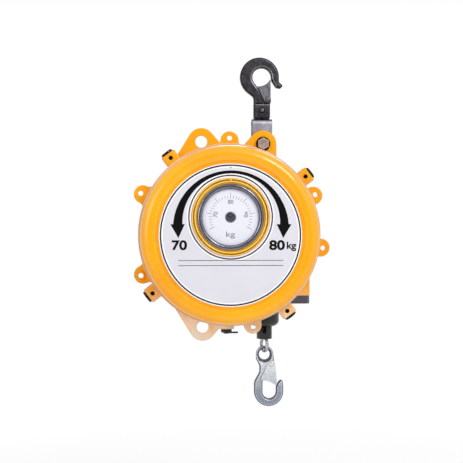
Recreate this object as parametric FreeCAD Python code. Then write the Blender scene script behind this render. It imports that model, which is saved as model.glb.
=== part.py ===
import FreeCAD, Part
import math
import os
from FreeCAD import Vector

# A spring balancer for hand tools. Sizes are in millimetres.
# Everything is built from the housing's centre: x to the right, y is the depth behind the label,
# z up. At the end it is moved so that the origin lies on the seat of the top hook.

# Housing
HOUSING_RADIUS = 141.0
HOUSING_WALL = 5.0
HOUSING_FRONT = 33.0
BACK_WALL = 6.0
BACK_ROUNDING = 6.0
FLANGE_HEIGHT = 6.0
EAR_DEPTH = 71.0
EAR_THICKNESS = 9.5
FIXING_REACH = 19.5
EAR_HOLE_RADIUS = 4.25
EAR_RADIUS = 15.0
EAR_CENTRE_INSET = 4.0
EAR_BLEND = 12.0
EAR_ANGLES = (89.2, 24.4, -8.2, -74.8, 205.2, 154.8)
RINGED_EAR_ANGLE = 205.2
EAR_RING_WIDTH = 3.0
EAR_RING_HEIGHT = 1.5
LUG_HOLE_RADIUS = 10.0
LUG_RADIUS = 22.5
LUG_ANGLES = (106.2, 254.5)
LUG_LEFT_ANGLE = 148.5
LUG_LEFT_RUN = 64.0
LUG_RIGHT_ANGLE = 41.3
LUG_RIGHT_RUN = 28.0
LUG_SINK = 0.88

# Front cover and label
LIP_HEIGHT = 8.0
LIP_THICKNESS = 4.0
RIM_HEIGHT = 4.0
RIM_WIDTH = 24.0
RIM_ROUNDING = 15.0
RIM_RISE = 4.0
COVER_WALL = 5.0
SKIRT_WALL = 5.0
SKIRT_END = 60.0
LABEL_MARGIN = 30.0
LABEL_STEP = 0.5
LABEL_THICKNESS = 0.6
LABEL_HOLE_RADIUS = 63.0
RAISED_RING_INNER = 53.6
RAISED_RING_OUTER = 62.4
RAISED_RING_HEIGHT = 3.0

# Dial, counted from the arbor's axis, which is also the drum's
ARBOR_RISE = 29.0
POCKET_RADIUS = 46.5
POCKET_WALL = 3.5
POCKET_DEPTH = 22.0
POCKET_FLOOR = 5.0
BEZEL_INNER = 45.8
BEZEL_HEIGHT = 4.0
DIAL_RADIUS = 45.4
DIAL_FRONT = 2.0
DIAL_THICKNESS = 1.5
DIAL_SCREW_HEAD = 9.0
GEAR_MODULE = 1.25
SMALL_TEETH = 12
LARGE_TEETH = 28
GEAR_BACKLASH = 0.4
GEAR_WIDTH = 4.0
DIAL_GEAR_DEPTH = 8.0
COUNTER_GEAR_DEPTH = 15.0
TIP_RADIUS = 4.0
COUNTER_PIN_RADIUS = 2.5
SCREW_CORE = 2.0

# Arbor, bearings and drum
ARBOR_RADIUS = 12.5
RUNNING_CLEARANCE = 0.05
BUSH_RADIUS = 16.0
HUB_RADIUS = 21.0
FRONT_HUB_LENGTH = 30.0
FRONT_BUSH_LENGTH = 14.0
DRUM_FRONT = 62.0
DRUM_WALL = 6.0
DRUM_FLANGE = 3.5
BEARING_RADIUS = 26.0
BEARING_WIDTH = 14.0
ROPE_DIAMETER = 6.0
ROPE_PITCH = 8.0
STROKE = 2100.0
DRUM_TURNS = 4.5
ROPE_TO_DRUM = 0.3
CASE_WALL = 8.0
CASE_DEPTH = 40.0
LID_THICKNESS = 4.0
LID_HUB_RADIUS = 31.0
LID_HUB_DEPTH = 11.0
SMALL_SCREW_RADIUS = 2.5
SMALL_SCREW_HEAD = 8.0
SPRING_WIDTH = 24.0
SPRING_INSET = 8.0
SPRING_PIN_RADIUS = 3.0
SPRING_STRIP = 2.0
SPRING_COILS = 3
LOCK_HOLES = 6
SEAT_GAP = 0.3

# Worm drive
WORM_MODULE = 3.5
WHEEL_MARGIN = 5.5
WHEEL_WIDTH = 10.0
WHEEL_GAP = 4.0
WORM_PITCH_RADIUS = 17.0
WORM_BACKLASH = 1.0
MESH_GAP = 0.3
REAR_CAP_THICKNESS = 4.0
LID_SCREWS = 4
LID_SCREW_INSET = 4.5
WORM_LENGTH = 40.0
WORM_BOX_HALF = 26.0
WORM_BOX_TOP = 68.0
WORM_BOX_BOTTOM = -107.5
WORM_BORE_GAP = 0.5
WORM_JOURNAL_RADIUS = 9.0
WORM_BUSH_RADIUS = 12.0
WORM_BOX_ROOF = 4.0
END_PLATE_THICKNESS = 14.0
END_PLATE_CHAMFER = 4.0
END_SCREW_RADIUS = 3.0
END_SCREW_REACH = 9.0
REAR_SCREW_CIRCLE = 22.0
REAR_SCREW_REACH = 12.0
REAR_HUB_WALL = 12.0

# Clamp bolts
BOSS_ANGLES = (127.3, 37.3, -52.7, -142.7)
BOSS_FRONT = 40.0
BOSS_BACK = 62.0
BOSS_WIDTH = 25.5
BOSS_CHAMFER = 3.0
BOSS_HEIGHT = 25.0
SET_SCREW_INSET = 8.3
SET_SCREW_RADIUS = 3.5
CLAMP_BOLT_RADIUS = 5.0
CLAMP_HEAD_RADIUS = 10.3
CLAMP_HEAD_HEIGHT = 4.4

# Suspension
HOOK_DEPTH = 106.0
SUSPENSION_X = 58.5
SUSPENSION_RISE = 10.0
SUSPENSION_BOLT_RADIUS = 6.0
SUSPENSION_LUG_RADIUS = 22.5
SUSPENSION_LUG_THICKNESS = 12.0
SUSPENSION_FLANK_ANGLE = 141.0
SUSPENSION_FLANK_RUN = 50.0
SUSPENSION_HEAD_FLATS = 18.0
SUSPENSION_HEAD_HEIGHT = 7.5
SUSPENSION_NUT_HEIGHT = 10.0
SUSPENSION_WASHER_RADIUS = 12.0
SUSPENSION_WASHER = 2.5
PIVOT_BUSH_RADIUS = 9.0
YOKE_DEPTH = 34.0
YOKE_WIDTH = 33.0
YOKE_PLATE = 5.0
YOKE_BEND = 9.0
YOKE_RISE = 43.0
SIDE_GAP = 0.5

# Top hook
HOOK_OPENING = 16.0
HOOK_THICKNESS = 18.0
TOP_HOOK_OUTER = 32.7
TOP_HOOK_SHIFT = -3.9
TOP_HOOK_CHAMFER = 2.5
HOOK_RISE = 70.8
SOCKET_TOP = -46.0
SOCKET_HALF_WIDTH = 13.5
SOCKET_EDGE = 3.5
SOCKET_ROOF = 4.0
SWIVEL_WASHER = 2.0
STUD_HEAD_RADIUS = 11.0
STUD_HEAD_TOP = 8.9
STUD_HEAD_HEIGHT = 8.0
CROSS_PIN_RADIUS = 3.0
CROSS_PIN_HEAD = 5.0
CROSS_PIN_DROP = 56.0
STUD_RADIUS = 8.0
LATCH_PLATE = 2.0
LATCH_GAP = 0.5
LATCH_WIRE = 1.0
LATCH_COILS = 4
LATCH_COIL_PITCH = 1.15
LATCH_LEG = 5.0
TOP_RIVET = (10.4, -36.5)
RIVET_RADIUS = 2.5

# Rope outlet and load hook
ROPE_X = 63.3
GUIDE_DEPTH_IN = 28.0
GUIDE_NECK = 15.0
GUIDE_LENGTH = 28.1
GUIDE_RADIUS = 24.9
GUIDE_WALL = 4.0
GUIDE_MOUTH = 12.0
GUIDE_ROUNDING = 6.0
GUIDE_FLARE = 8.0
GUIDE_BORE = 4.5
SLEEVE_RADIUS = 13.1
SLEEVE_LENGTH = 21.7
EYE_DROP = 26.4
EYE_RADIUS = 14.0
EYE_HOLE = 9.2
EYE_LAND = 1.6
LOOP_RADIUS = 11.0
LOOP_LIFT = 16.5
LOOP_LEAN = 46.0
LOOP_TURN = 22.0
FERRULE_RADIUS = 10.0
FERRULE_RECESS = 4.0
FERRULE_LENGTH = 17.4
SLEEVE_WALL = 1.2
LOAD_HOOK_THICKNESS = 12.0
LOAD_HOOK_CHAMFER = 2.5
LOAD_RIVET = (11.8, -16.1)

# Lock
LOCK_DEPTH = 130.0
LOCK_X = 0.0
LOCK_BOSS_RADIUS = 14.0
LOCK_BOSS_DROP = 22.0
LOCK_WELL_RADIUS = 11.0
LOCK_WELL_DEPTH = 19.0
KNOB_REST = 9.0
KNOB_LENGTH = 16.8
KNOB_STUB_RADIUS = 5.0
KNOB_STUB = 1.9
WING_REACH = 20.0
WING_WIDTH = 8.0
WING_LOW = 18.0
WING_HEIGHT = 2.5
WING_SLOT = 9.0
PLUNGER_RADIUS = 6.0
LOCK_TRAVEL = 8.0
LOCK_GAP = 2.0
KNOB_RADIUS = 9.4
LOCK_WIRE = 1.2

# Worked-out values
HOUSING_INNER = HOUSING_RADIUS - HOUSING_WALL
FLANGE_RADIUS = HOUSING_RADIUS + FLANGE_HEIGHT
FIXING_CIRCLE = HOUSING_RADIUS + FIXING_REACH
LIP_RADIUS = HOUSING_RADIUS + LIP_HEIGHT
RIM_RADIUS = HOUSING_RADIUS + RIM_HEIGHT
LABEL_RADIUS = RIM_RADIUS - LABEL_MARGIN
BOSS_END = HOUSING_RADIUS + BOSS_HEIGHT
SET_SCREW_CIRCLE = BOSS_END - SET_SCREW_INSET
SUSPENSION_Z = HOUSING_RADIUS + SUSPENSION_RISE
YOKE_TOP = SUSPENSION_Z + YOKE_RISE
HOOK_CENTRE_Z = YOKE_TOP + HOOK_RISE
GUIDE_TOP = GUIDE_DEPTH_IN - HOUSING_RADIUS
GUIDE_SEAT = GUIDE_TOP - GUIDE_NECK
GUIDE_BOTTOM = GUIDE_SEAT - GUIDE_LENGTH
SLEEVE_TOP = GUIDE_BOTTOM - SEAT_GAP
SLEEVE_BOTTOM = SLEEVE_TOP - SLEEVE_LENGTH
EYE_Z = SLEEVE_BOTTOM - EYE_DROP
FERRULE_TOP = SLEEVE_TOP - FERRULE_RECESS
FERRULE_BOTTOM = FERRULE_TOP - FERRULE_LENGTH
LOCK_BOSS_BOTTOM = -HOUSING_RADIUS - LOCK_BOSS_DROP
LOCK_WELL_TOP = LOCK_BOSS_BOTTOM + LOCK_WELL_DEPTH
KNOB_TOP = LOCK_WELL_TOP - KNOB_REST
KNOB_BOTTOM = KNOB_TOP - KNOB_LENGTH
ROPE_RADIUS = ROPE_DIAMETER / 2
FIRST_WRAP = ROPE_X
MEAN_WRAP = STROKE / (DRUM_TURNS * 2 * math.pi)
TAPER = (MEAN_WRAP - FIRST_WRAP) / (DRUM_TURNS * ROPE_PITCH / 2)
CASE_FRONT = HOOK_DEPTH + ROPE_RADIUS + 1.0
CASE_BACK = CASE_FRONT + CASE_DEPTH
LID_BACK = CASE_BACK + LID_THICKNESS
WHEEL_DEPTH = LID_BACK + WHEEL_GAP
WHEEL_TEETH = round(2 * (HOUSING_INNER - ARBOR_RISE - WHEEL_MARGIN) / WORM_MODULE)
WORM_DEPTH = WHEEL_DEPTH + WHEEL_WIDTH / 2
WHEEL_PITCH_RADIUS = WORM_MODULE * WHEEL_TEETH / 2
WORM_X = WHEEL_PITCH_RADIUS + WORM_PITCH_RADIUS + MESH_GAP
WORM_OUTER = WORM_PITCH_RADIUS + WORM_MODULE
CASE_RADIUS = WORM_X - WORM_OUTER - SEAT_GAP
LID_SCREW_CIRCLE = CASE_RADIUS - LID_SCREW_INSET
WORM_PITCH = math.pi * WORM_MODULE
BACK_INNER = WHEEL_DEPTH + WHEEL_WIDTH + 6.0
HOUSING_BACK = BACK_INNER + BACK_WALL
HUB_BACK = HOUSING_BACK + 7.0
GEAR_DISTANCE = GEAR_MODULE * (SMALL_TEETH + LARGE_TEETH) / 2
PITCH_LEAD = WORM_PITCH / (2 * math.pi * WORM_PITCH_RADIUS)

SHORTEST_LINE = 0.001
ALONG_X = Vector(1, 0, 0)
ALONG_Y = Vector(0, 1, 0)
ALONG_Z = Vector(0, 0, 1)


def polar(radius, degrees):
    angle = math.radians(degrees)
    return radius * math.cos(angle), radius * math.sin(angle)


def face_of(steps, place):
    """A face from points (a, b) joined by lines, or (ma, mb, a, b) for an arc through (ma, mb)."""
    edges = []
    here = place(*steps[0][-2:])
    for step in steps[1:] + steps[:1]:
        end = place(*step[-2:])
        if len(step) == 4 and step is not steps[0]:
            edges.append(Part.Arc(here, place(*step[:2]), end).toShape())
        elif here.distanceToPoint(end) > SHORTEST_LINE:
            edges.append(Part.LineSegment(here, end).toShape())
        here = end
    return Part.Face(Part.Wire(edges))


def rounded(corners):
    """The steps of a polygon with rounded corners, from (a, b, radius)."""
    steps = []
    for n, (a, b, radius) in enumerate(corners):
        corner = Vector(a, b, 0)
        back = Vector(*corners[n - 1][:2], 0) - corner
        ahead = Vector(*corners[(n + 1) % len(corners)][:2], 0) - corner
        half = back.getAngle(ahead) / 2
        trim = radius / math.tan(half)
        back.normalize()
        ahead.normalize()
        start = corner + back * trim
        if radius == 0:
            steps.append((start.x, start.y))
            continue
        end = corner + ahead * trim
        way = (back + ahead).normalize()
        middle = corner + way * (radius / math.sin(half) - radius)
        steps.append((start.x, start.y))
        steps.append((middle.x, middle.y, end.x, end.y))
    return steps


def turned_y(steps, x=0.0, z=0.0):
    """A solid turned about a line along the depth, from (radius, depth) steps."""
    face = face_of(steps, lambda r, d: Vector(r, d, 0))
    return face.revolve(Vector(0, 0, 0), ALONG_Y, 360).translated(Vector(x, 0, z))


def turned_z(steps, x=0.0, depth=0.0):
    """A solid turned about an upright line, from (radius, height) steps."""
    face = face_of(steps, lambda r, z: Vector(r, 0, z))
    return face.revolve(Vector(0, 0, 0), ALONG_Z, 360).translated(Vector(x, depth, 0))


def slab(steps, front, thickness):
    """A plate standing in the picture plane, from (x, z) steps."""
    face = face_of(steps, lambda x, z: Vector(x, front, z))
    return face.extrude(Vector(0, thickness, 0))


def rod_y(radius, front, back, x=0.0, z=0.0):
    return Part.makeCylinder(radius, back - front, Vector(x, front, z), ALONG_Y)


def rod_z(radius, low, high, x=0.0, depth=0.0):
    return Part.makeCylinder(radius, high - low, Vector(x, depth, low), ALONG_Z)


def ring_y(inner, outer, front, back, x=0.0, z=0.0):
    return rod_y(outer, front, back, x, z).cut(rod_y(inner, front, back, x, z))


def ring_z(inner, outer, low, high, x=0.0, depth=0.0):
    return rod_z(outer, low, high, x, depth).cut(rod_z(inner, low, high, x, depth))


def block(x, depth, z):
    """A box from three pairs of limits."""
    size = [high - low for low, high in (x, depth, z)]
    return Part.makeBox(*size, Vector(x[0], depth[0], z[0]))


def hexagon(across_flats, place):
    """The face of a hexagon round the origin, put in its plane by place(a, b)."""
    radius = across_flats / math.sqrt(3)
    corners = [polar(radius, 60 * n + 30) for n in range(6)]
    points = [place(a, b) for a, b in corners]
    return Part.Face(Part.makePolygon(points + points[:1]))


def hex_y(across_flats, front, back, x, z):
    face = hexagon(across_flats, lambda a, b: Vector(x + a, front, z + b))
    return face.extrude(Vector(0, back - front, 0))


def rod_x(radius, start, end, depth):
    return Part.makeCylinder(radius, end - start, Vector(start, depth, 0), ALONG_X)


def on_radius(shape, degrees):
    """A shape built along +x, turned about the housing's axis to an angle from +x towards +z."""
    return shape.rotated(Vector(0, 0, 0), ALONG_Y, -degrees)


def group(shapes):
    return Part.makeCompound(shapes)


# The housing and what is cast on it


def ear(degrees):
    """One small ear, blended into the flange by two concave arcs."""
    centre_radius = FIXING_CIRCLE - EAR_CENTRE_INSET
    reach = FLANGE_RADIUS + EAR_BLEND
    side = EAR_RADIUS + EAR_BLEND
    along = (centre_radius ** 2 + reach ** 2 - side ** 2) / (2 * centre_radius)
    across = math.sqrt(reach ** 2 - along ** 2)
    inner = FLANGE_RADIUS * 0.93
    web = slab([(centre_radius, 0), (along, across), (inner, across * 0.9),
                (inner, -across * 0.9), (along, -across)], EAR_DEPTH, EAR_THICKNESS)
    back = EAR_DEPTH + EAR_THICKNESS
    body = web.fuse(rod_y(EAR_RADIUS, EAR_DEPTH, back, centre_radius, 0))
    for way in (1, -1):
        body = body.cut(rod_y(EAR_BLEND, EAR_DEPTH, back, along, way * across))
    if degrees == RINGED_EAR_ANGLE:
        ring = ring_y(EAR_HOLE_RADIUS, EAR_HOLE_RADIUS + EAR_RING_WIDTH, EAR_DEPTH - EAR_RING_HEIGHT,
                      EAR_DEPTH, FIXING_CIRCLE, 0)
        body = body.fuse(ring)
    return on_radius(body, degrees)


def fixing_lug(degrees):
    """One large fixing lug: a disc with a long straight flank on its left and a short one on its right."""
    x, z = polar(FIXING_CIRCLE, degrees)
    up = 1 if z > 0 else -1
    sides = []
    for angle, run, turn in ((LUG_LEFT_ANGLE, LUG_LEFT_RUN, 90), (LUG_RIGHT_ANGLE, LUG_RIGHT_RUN, -90)):
        out = polar(LUG_RADIUS, angle * up)
        along = polar(run, (angle + turn) * up)
        touch = (x + out[0], z + out[1])
        foot = (touch[0] + along[0], touch[1] + along[1])
        sides.append((touch, foot, (foot[0] * LUG_SINK, foot[1] * LUG_SINK)))
    left, right = sides
    web = slab([*left, *reversed(right)], EAR_DEPTH, EAR_THICKNESS)
    disc = rod_y(LUG_RADIUS, EAR_DEPTH, EAR_DEPTH + EAR_THICKNESS, x, z)
    return web.fuse(disc)


def clamp_boss(degrees):
    """A block on the housing's wall that a radial clamp bolt goes through."""
    half = BOSS_WIDTH / 2
    body = block((HOUSING_INNER + 1.0, BOSS_END), (BOSS_FRONT, BOSS_BACK), (-half, half))
    long_edges = [e for e in body.Edges if e.BoundBox.XLength > 1.0 and e.BoundBox.YMax < clamp_depth()]
    return on_radius(body.makeChamfer(BOSS_CHAMFER, long_edges), degrees)


def suspension_lug(front):
    """One of the two lugs that hold the suspension bolt."""
    radius = SUSPENSION_LUG_RADIUS
    right = SUSPENSION_X + radius
    left = polar(radius, SUSPENSION_FLANK_ANGLE)
    run = polar(SUSPENSION_FLANK_RUN, SUSPENSION_FLANK_ANGLE + 90)
    foot = SUSPENSION_Z + left[1] + run[1]
    web = slab([(SUSPENSION_X + left[0], SUSPENSION_Z + left[1]), (SUSPENSION_X + left[0] + run[0], foot),
                (SUSPENSION_X, foot - radius), (right, foot - radius), (right, SUSPENSION_Z)],
               front, SUSPENSION_LUG_THICKNESS)
    disc = rod_y(radius, front, front + SUSPENSION_LUG_THICKNESS, SUSPENSION_X, SUSPENSION_Z)
    return web.fuse(disc)


def lug_fronts():
    """Where the front and the rear suspension lug start."""
    front = HOOK_DEPTH - YOKE_DEPTH / 2 - SIDE_GAP - SUSPENSION_LUG_THICKNESS
    return front, HOOK_DEPTH + YOKE_DEPTH / 2 + SIDE_GAP


def worm_box():
    """The upright box beside the wheel that the worm stands in."""
    return worm_block(WORM_BOX_BOTTOM, WORM_BOX_TOP)


def worm_block(low, high):
    """A square block round the worm's axis."""
    half = WORM_BOX_HALF
    return block((WORM_X - half, WORM_X + half), (WORM_DEPTH - half, WORM_DEPTH + half), (low, high))


def main_housing():
    shell = turned_y([(HOUSING_RADIUS, HOUSING_FRONT), (HOUSING_RADIUS, EAR_DEPTH),
                      (FLANGE_RADIUS, EAR_DEPTH), (FLANGE_RADIUS, EAR_DEPTH + EAR_THICKNESS),
                      (HOUSING_RADIUS, EAR_DEPTH + EAR_THICKNESS),
                      (HOUSING_RADIUS, HOUSING_BACK - BACK_ROUNDING),
                      (HOUSING_RADIUS - BACK_ROUNDING, HOUSING_BACK), (0, HOUSING_BACK), (0, HOUSING_FRONT)])
    inside = GUIDE_TOP + 23.0
    guide_boss = rod_z(GUIDE_RADIUS + GUIDE_WALL, GUIDE_SEAT, inside, ROPE_X, HOOK_DEPTH)
    lock_boss = rod_z(LOCK_BOSS_RADIUS, LOCK_BOSS_BOTTOM, inside, LOCK_X, LOCK_DEPTH)
    hub = rod_y(BUSH_RADIUS + REAR_HUB_WALL, BACK_INNER, HUB_BACK, 0, ARBOR_RISE)
    parts = [ear(a) for a in EAR_ANGLES] + [fixing_lug(a) for a in LUG_ANGLES]
    parts += [clamp_boss(a) for a in BOSS_ANGLES] + [suspension_lug(d) for d in lug_fronts()]
    parts += [guide_boss, lock_boss, hub, worm_box()]
    body = shell.fuse(parts)
    room = rod_y(HOUSING_INNER, HOUSING_FRONT, BACK_INNER).cut(worm_box())
    room = room.cut([rod_z(LOCK_BOSS_RADIUS, -HOUSING_RADIUS, GUIDE_TOP + 13.0, LOCK_X, LOCK_DEPTH),
                     rod_z(GUIDE_RADIUS - 0.5, -HOUSING_RADIUS, GUIDE_TOP, ROPE_X, HOOK_DEPTH)])
    chamber = rod_y(HOUSING_INNER - ARBOR_RISE, HOUSING_FRONT, BACK_INNER, 0, ARBOR_RISE)
    cuts = [room, chamber, *housing_bores()]
    return body.cut(cuts).removeSplitter()


def housing_bores():
    """Every hole in the housing."""
    thick = EAR_THICKNESS + 2.0
    bores = []
    for degrees in EAR_ANGLES:
        x, z = polar(FIXING_CIRCLE, degrees)
        bores.append(rod_y(EAR_HOLE_RADIUS, EAR_DEPTH - 2.0, EAR_DEPTH + thick, x, z))
    for degrees in LUG_ANGLES:
        x, z = polar(FIXING_CIRCLE, degrees)
        bores.append(rod_y(LUG_HOLE_RADIUS, EAR_DEPTH - 2.0, EAR_DEPTH + thick, x, z))
    for degrees in BOSS_ANGLES:
        bolt = rod_x(CLAMP_BOLT_RADIUS, HOUSING_INNER - 3.0, BOSS_END + 1.0, clamp_depth())
        bores.append(on_radius(bolt, degrees))
        screw = rod_y(SET_SCREW_RADIUS, BOSS_FRONT - 1.0, clamp_depth(), SET_SCREW_CIRCLE, 0)
        bores.append(on_radius(screw, degrees))
    for front in lug_fronts():
        bores.append(rod_y(SUSPENSION_BOLT_RADIUS, front, front + SUSPENSION_LUG_THICKNESS,
                           SUSPENSION_X, SUSPENSION_Z))
    bores.append(rod_y(BUSH_RADIUS, BACK_INNER, HUB_BACK, 0, ARBOR_RISE))
    low, high = worm_room()
    bores.append(rod_z(WORM_OUTER + WORM_BORE_GAP, low, high, WORM_X, WORM_DEPTH))
    roof = WORM_BOX_TOP - WORM_BOX_ROOF
    bores.append(rod_z(WORM_BUSH_RADIUS, WORM_BOX_BOTTOM, roof, WORM_X, WORM_DEPTH))
    bores.append(rod_z(GUIDE_RADIUS - GUIDE_WALL, GUIDE_SEAT, -CASE_RADIUS / 2, ROPE_X, HOOK_DEPTH))
    bores.append(rod_z(GUIDE_RADIUS + SEAT_GAP, GUIDE_BOTTOM, GUIDE_SEAT, ROPE_X, HOOK_DEPTH))
    plunger = PLUNGER_RADIUS + RUNNING_CLEARANCE
    bores.append(rod_z(plunger, LOCK_WELL_TOP, -CASE_RADIUS / 2, LOCK_X, LOCK_DEPTH))
    bores.append(rod_z(LOCK_WELL_RADIUS, LOCK_BOSS_BOTTOM, LOCK_WELL_TOP, LOCK_X, LOCK_DEPTH))
    wing = lock_wing().translated(Vector(0, 0, LOCK_TRAVEL)).BoundBox
    slot = (LOCK_DEPTH - WING_SLOT / 2, LOCK_DEPTH + WING_SLOT / 2)
    bores.append(block((LOCK_X, LOCK_X + WING_REACH), slot, (LOCK_BOSS_BOTTOM, wing.ZMax + SIDE_GAP)))
    bores += rear_screw_rods(HUB_BACK)
    for x, depth in end_plate_places():
        bores.append(rod_z(END_SCREW_RADIUS, WORM_BOX_BOTTOM, WORM_BOX_BOTTOM + END_SCREW_REACH, x, depth))
    return bores


def clamp_depth():
    """The depth of the clamp bolts' axes."""
    return (BOSS_FRONT + BOSS_BACK) / 2


# The front cover and the label


def front_cover():
    start = RIM_RADIUS - RIM_WIDTH
    middle = RIM_RADIUS - RIM_ROUNDING
    centre = RIM_ROUNDING - RIM_RISE
    shoulder = centre - math.sqrt(RIM_ROUNDING ** 2 - (middle - start) ** 2)
    crest = polar(RIM_ROUNDING, -75)
    lip_front = HOUSING_FRONT - LIP_THICKNESS
    skirt = HOUSING_INNER - SKIRT_WALL
    inner = RIM_RADIUS - COVER_WALL - 1.0
    label_edge = LABEL_RADIUS + LABEL_STEP
    body = turned_y([(0, 0), (label_edge, 0), (label_edge, shoulder), (start, shoulder),
                     (middle + crest[0], centre + crest[1], RIM_RADIUS, centre),
                     (RIM_RADIUS, lip_front), (LIP_RADIUS, lip_front), (LIP_RADIUS, HOUSING_FRONT),
                     (HOUSING_INNER, HOUSING_FRONT), (HOUSING_INNER, SKIRT_END), (skirt, SKIRT_END),
                     (skirt, lip_front), (inner, lip_front - 6.0), (inner, centre + 3.0),
                     (middle, COVER_WALL), (0, COVER_WALL)])
    floor_back = POCKET_DEPTH + POCKET_FLOOR
    wall = rod_y(POCKET_RADIUS + POCKET_WALL, 0.5, floor_back, 0, ARBOR_RISE)
    hub = rod_y(HUB_RADIUS, floor_back, floor_back + FRONT_HUB_LENGTH, 0, ARBOR_RISE)
    low, high, top = RAISED_RING_INNER, RAISED_RING_OUTER, -RAISED_RING_HEIGHT
    middle_ring = (low + high) / 2
    ridges = turned_y([(low, 0.5), (low, top + 1.0), (low + 1.5, top), (middle_ring - 0.8, top + 0.6),
                       (middle_ring + 0.8, top + 0.6), (high - 1.5, top), (high, top + 1.0), (high, 0.5)],
                      0, ARBOR_RISE)
    body = body.fuse([wall, hub, ridges])
    pocket = rod_y(POCKET_RADIUS, -1.0, POCKET_DEPTH, 0, ARBOR_RISE)
    tip = rod_y(TIP_RADIUS + 1.0, POCKET_DEPTH, floor_back, 0, ARBOR_RISE)
    bush = rod_y(BUSH_RADIUS, floor_back, floor_back + FRONT_HUB_LENGTH, 0, ARBOR_RISE)
    pin = rod_y(COUNTER_PIN_RADIUS, POCKET_DEPTH, floor_back, 0, ARBOR_RISE - GEAR_DISTANCE)
    bolts = []
    for degrees in BOSS_ANGLES:
        bolt = rod_x(CLAMP_BOLT_RADIUS, skirt - 1.0, HOUSING_INNER + 1.0, clamp_depth())
        bolts.append(on_radius(bolt, degrees))
    return body.cut([pocket, tip, bush, pin, *bolts]).removeSplitter()


def label_plate():
    plate = rod_y(LABEL_RADIUS, -LABEL_THICKNESS, 0)
    return plate.cut(rod_y(LABEL_HOLE_RADIUS, -1.0, 1.0, 0, ARBOR_RISE))


def dial_bezel():
    outer = RAISED_RING_INNER
    middle = (BEZEL_INNER + outer) / 2
    return turned_y([(BEZEL_INNER, 4.0), (BEZEL_INNER, -1.0),
                     (middle, -BEZEL_HEIGHT, outer, -1.0), (outer, 0), (POCKET_RADIUS, 0),
                     (POCKET_RADIUS, 4.0)], 0, ARBOR_RISE)


# Gears


def toothed_wheel(teeth, module, backlash, front, width, first_tooth, twist=0.0):
    """A gear with straight flanks round the origin. A tooth points to first_tooth, in degrees."""
    pitch_radius = module * teeth / 2
    outer = pitch_radius + module
    root = pitch_radius - 1.25 * module
    half = (math.pi * module / 2 - backlash) / 2
    slope = math.tan(math.radians(20))
    corners = []
    for n in range(teeth):
        middle = math.radians(first_tooth) + 2 * math.pi * n / teeth
        for radius, side in ((root, -1), (outer, -1), (outer, 1), (root, 1)):
            spread = side * (half - (radius - pitch_radius) * slope) / radius
            corners.append((radius, middle + spread))
    wires = []
    for depth, shift in ((front, -twist / 2), (front + width, twist / 2)):
        points = [Vector(r * math.cos(a + shift), depth, r * math.sin(a + shift)) for r, a in corners]
        wires.append(Part.makePolygon(points + points[:1]))
    if twist:
        return Part.makeLoft(wires, True, True)
    return Part.Face(wires[0]).extrude(Vector(0, width, 0))


def dial_pinion():
    gear = toothed_wheel(SMALL_TEETH, GEAR_MODULE, GEAR_BACKLASH, COUNTER_GEAR_DEPTH, GEAR_WIDTH, -90)
    gear = gear.translated(Vector(0, 0, ARBOR_RISE))
    return gear.cut(rod_y(TIP_RADIUS, 0, POCKET_DEPTH, 0, ARBOR_RISE))


def counter_gear():
    large = toothed_wheel(LARGE_TEETH, GEAR_MODULE, GEAR_BACKLASH, COUNTER_GEAR_DEPTH, GEAR_WIDTH,
                          90 + 180 / LARGE_TEETH)
    front = DIAL_GEAR_DEPTH
    small = toothed_wheel(SMALL_TEETH, GEAR_MODULE, GEAR_BACKLASH, front, COUNTER_GEAR_DEPTH - front, 90)
    gear = large.fuse(small).translated(Vector(0, 0, ARBOR_RISE - GEAR_DISTANCE))
    bore = COUNTER_PIN_RADIUS + RUNNING_CLEARANCE
    return gear.cut(rod_y(bore, 0, POCKET_DEPTH, 0, ARBOR_RISE - GEAR_DISTANCE))


def counter_pin():
    z = ARBOR_RISE - GEAR_DISTANCE
    pin = rod_y(COUNTER_PIN_RADIUS, DIAL_GEAR_DEPTH - 1.0, POCKET_DEPTH + POCKET_FLOOR, 0, z)
    return pin.fuse(rod_y(4.0, DIAL_GEAR_DEPTH - 2.0, DIAL_GEAR_DEPTH - 1.0, 0, z))


def dial_gear():
    gear = toothed_wheel(LARGE_TEETH, GEAR_MODULE, GEAR_BACKLASH, DIAL_GEAR_DEPTH, GEAR_WIDTH,
                         -90 + 180 / LARGE_TEETH)
    gear = gear.translated(Vector(0, 0, ARBOR_RISE))
    hub = rod_y(7.0, DIAL_FRONT + DIAL_THICKNESS, DIAL_GEAR_DEPTH, 0, ARBOR_RISE)
    end = DIAL_GEAR_DEPTH - 1.0 - SEAT_GAP
    bore = rod_y(TIP_RADIUS + RUNNING_CLEARANCE, end, POCKET_DEPTH, 0, ARBOR_RISE)
    screw = rod_y(SCREW_CORE, 0, end, 0, ARBOR_RISE)
    return gear.fuse(hub).cut([bore, screw])


def dial_plate():
    plate = rod_y(DIAL_RADIUS, DIAL_FRONT, DIAL_FRONT + DIAL_THICKNESS, 0, ARBOR_RISE)
    return plate.cut(rod_y(SCREW_CORE, 0, DIAL_GEAR_DEPTH, 0, ARBOR_RISE))


def dial_screw():
    head = DIAL_SCREW_HEAD
    top = DIAL_FRONT - 2.8
    body = turned_y([(0, top), (head - 2.5, top), (head, DIAL_FRONT), (0, DIAL_FRONT)], 0, ARBOR_RISE)
    body = body.fuse(rod_y(SCREW_CORE, DIAL_FRONT, DIAL_GEAR_DEPTH - 1.5, 0, ARBOR_RISE))
    for wide, tall in ((4.0, 0.7), (0.7, 4.0)):
        slot = block((-wide, wide), (top, top + 1.6), (ARBOR_RISE - tall, ARBOR_RISE + tall))
        body = body.cut(slot)
    return body


# Arbor and drum


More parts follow.
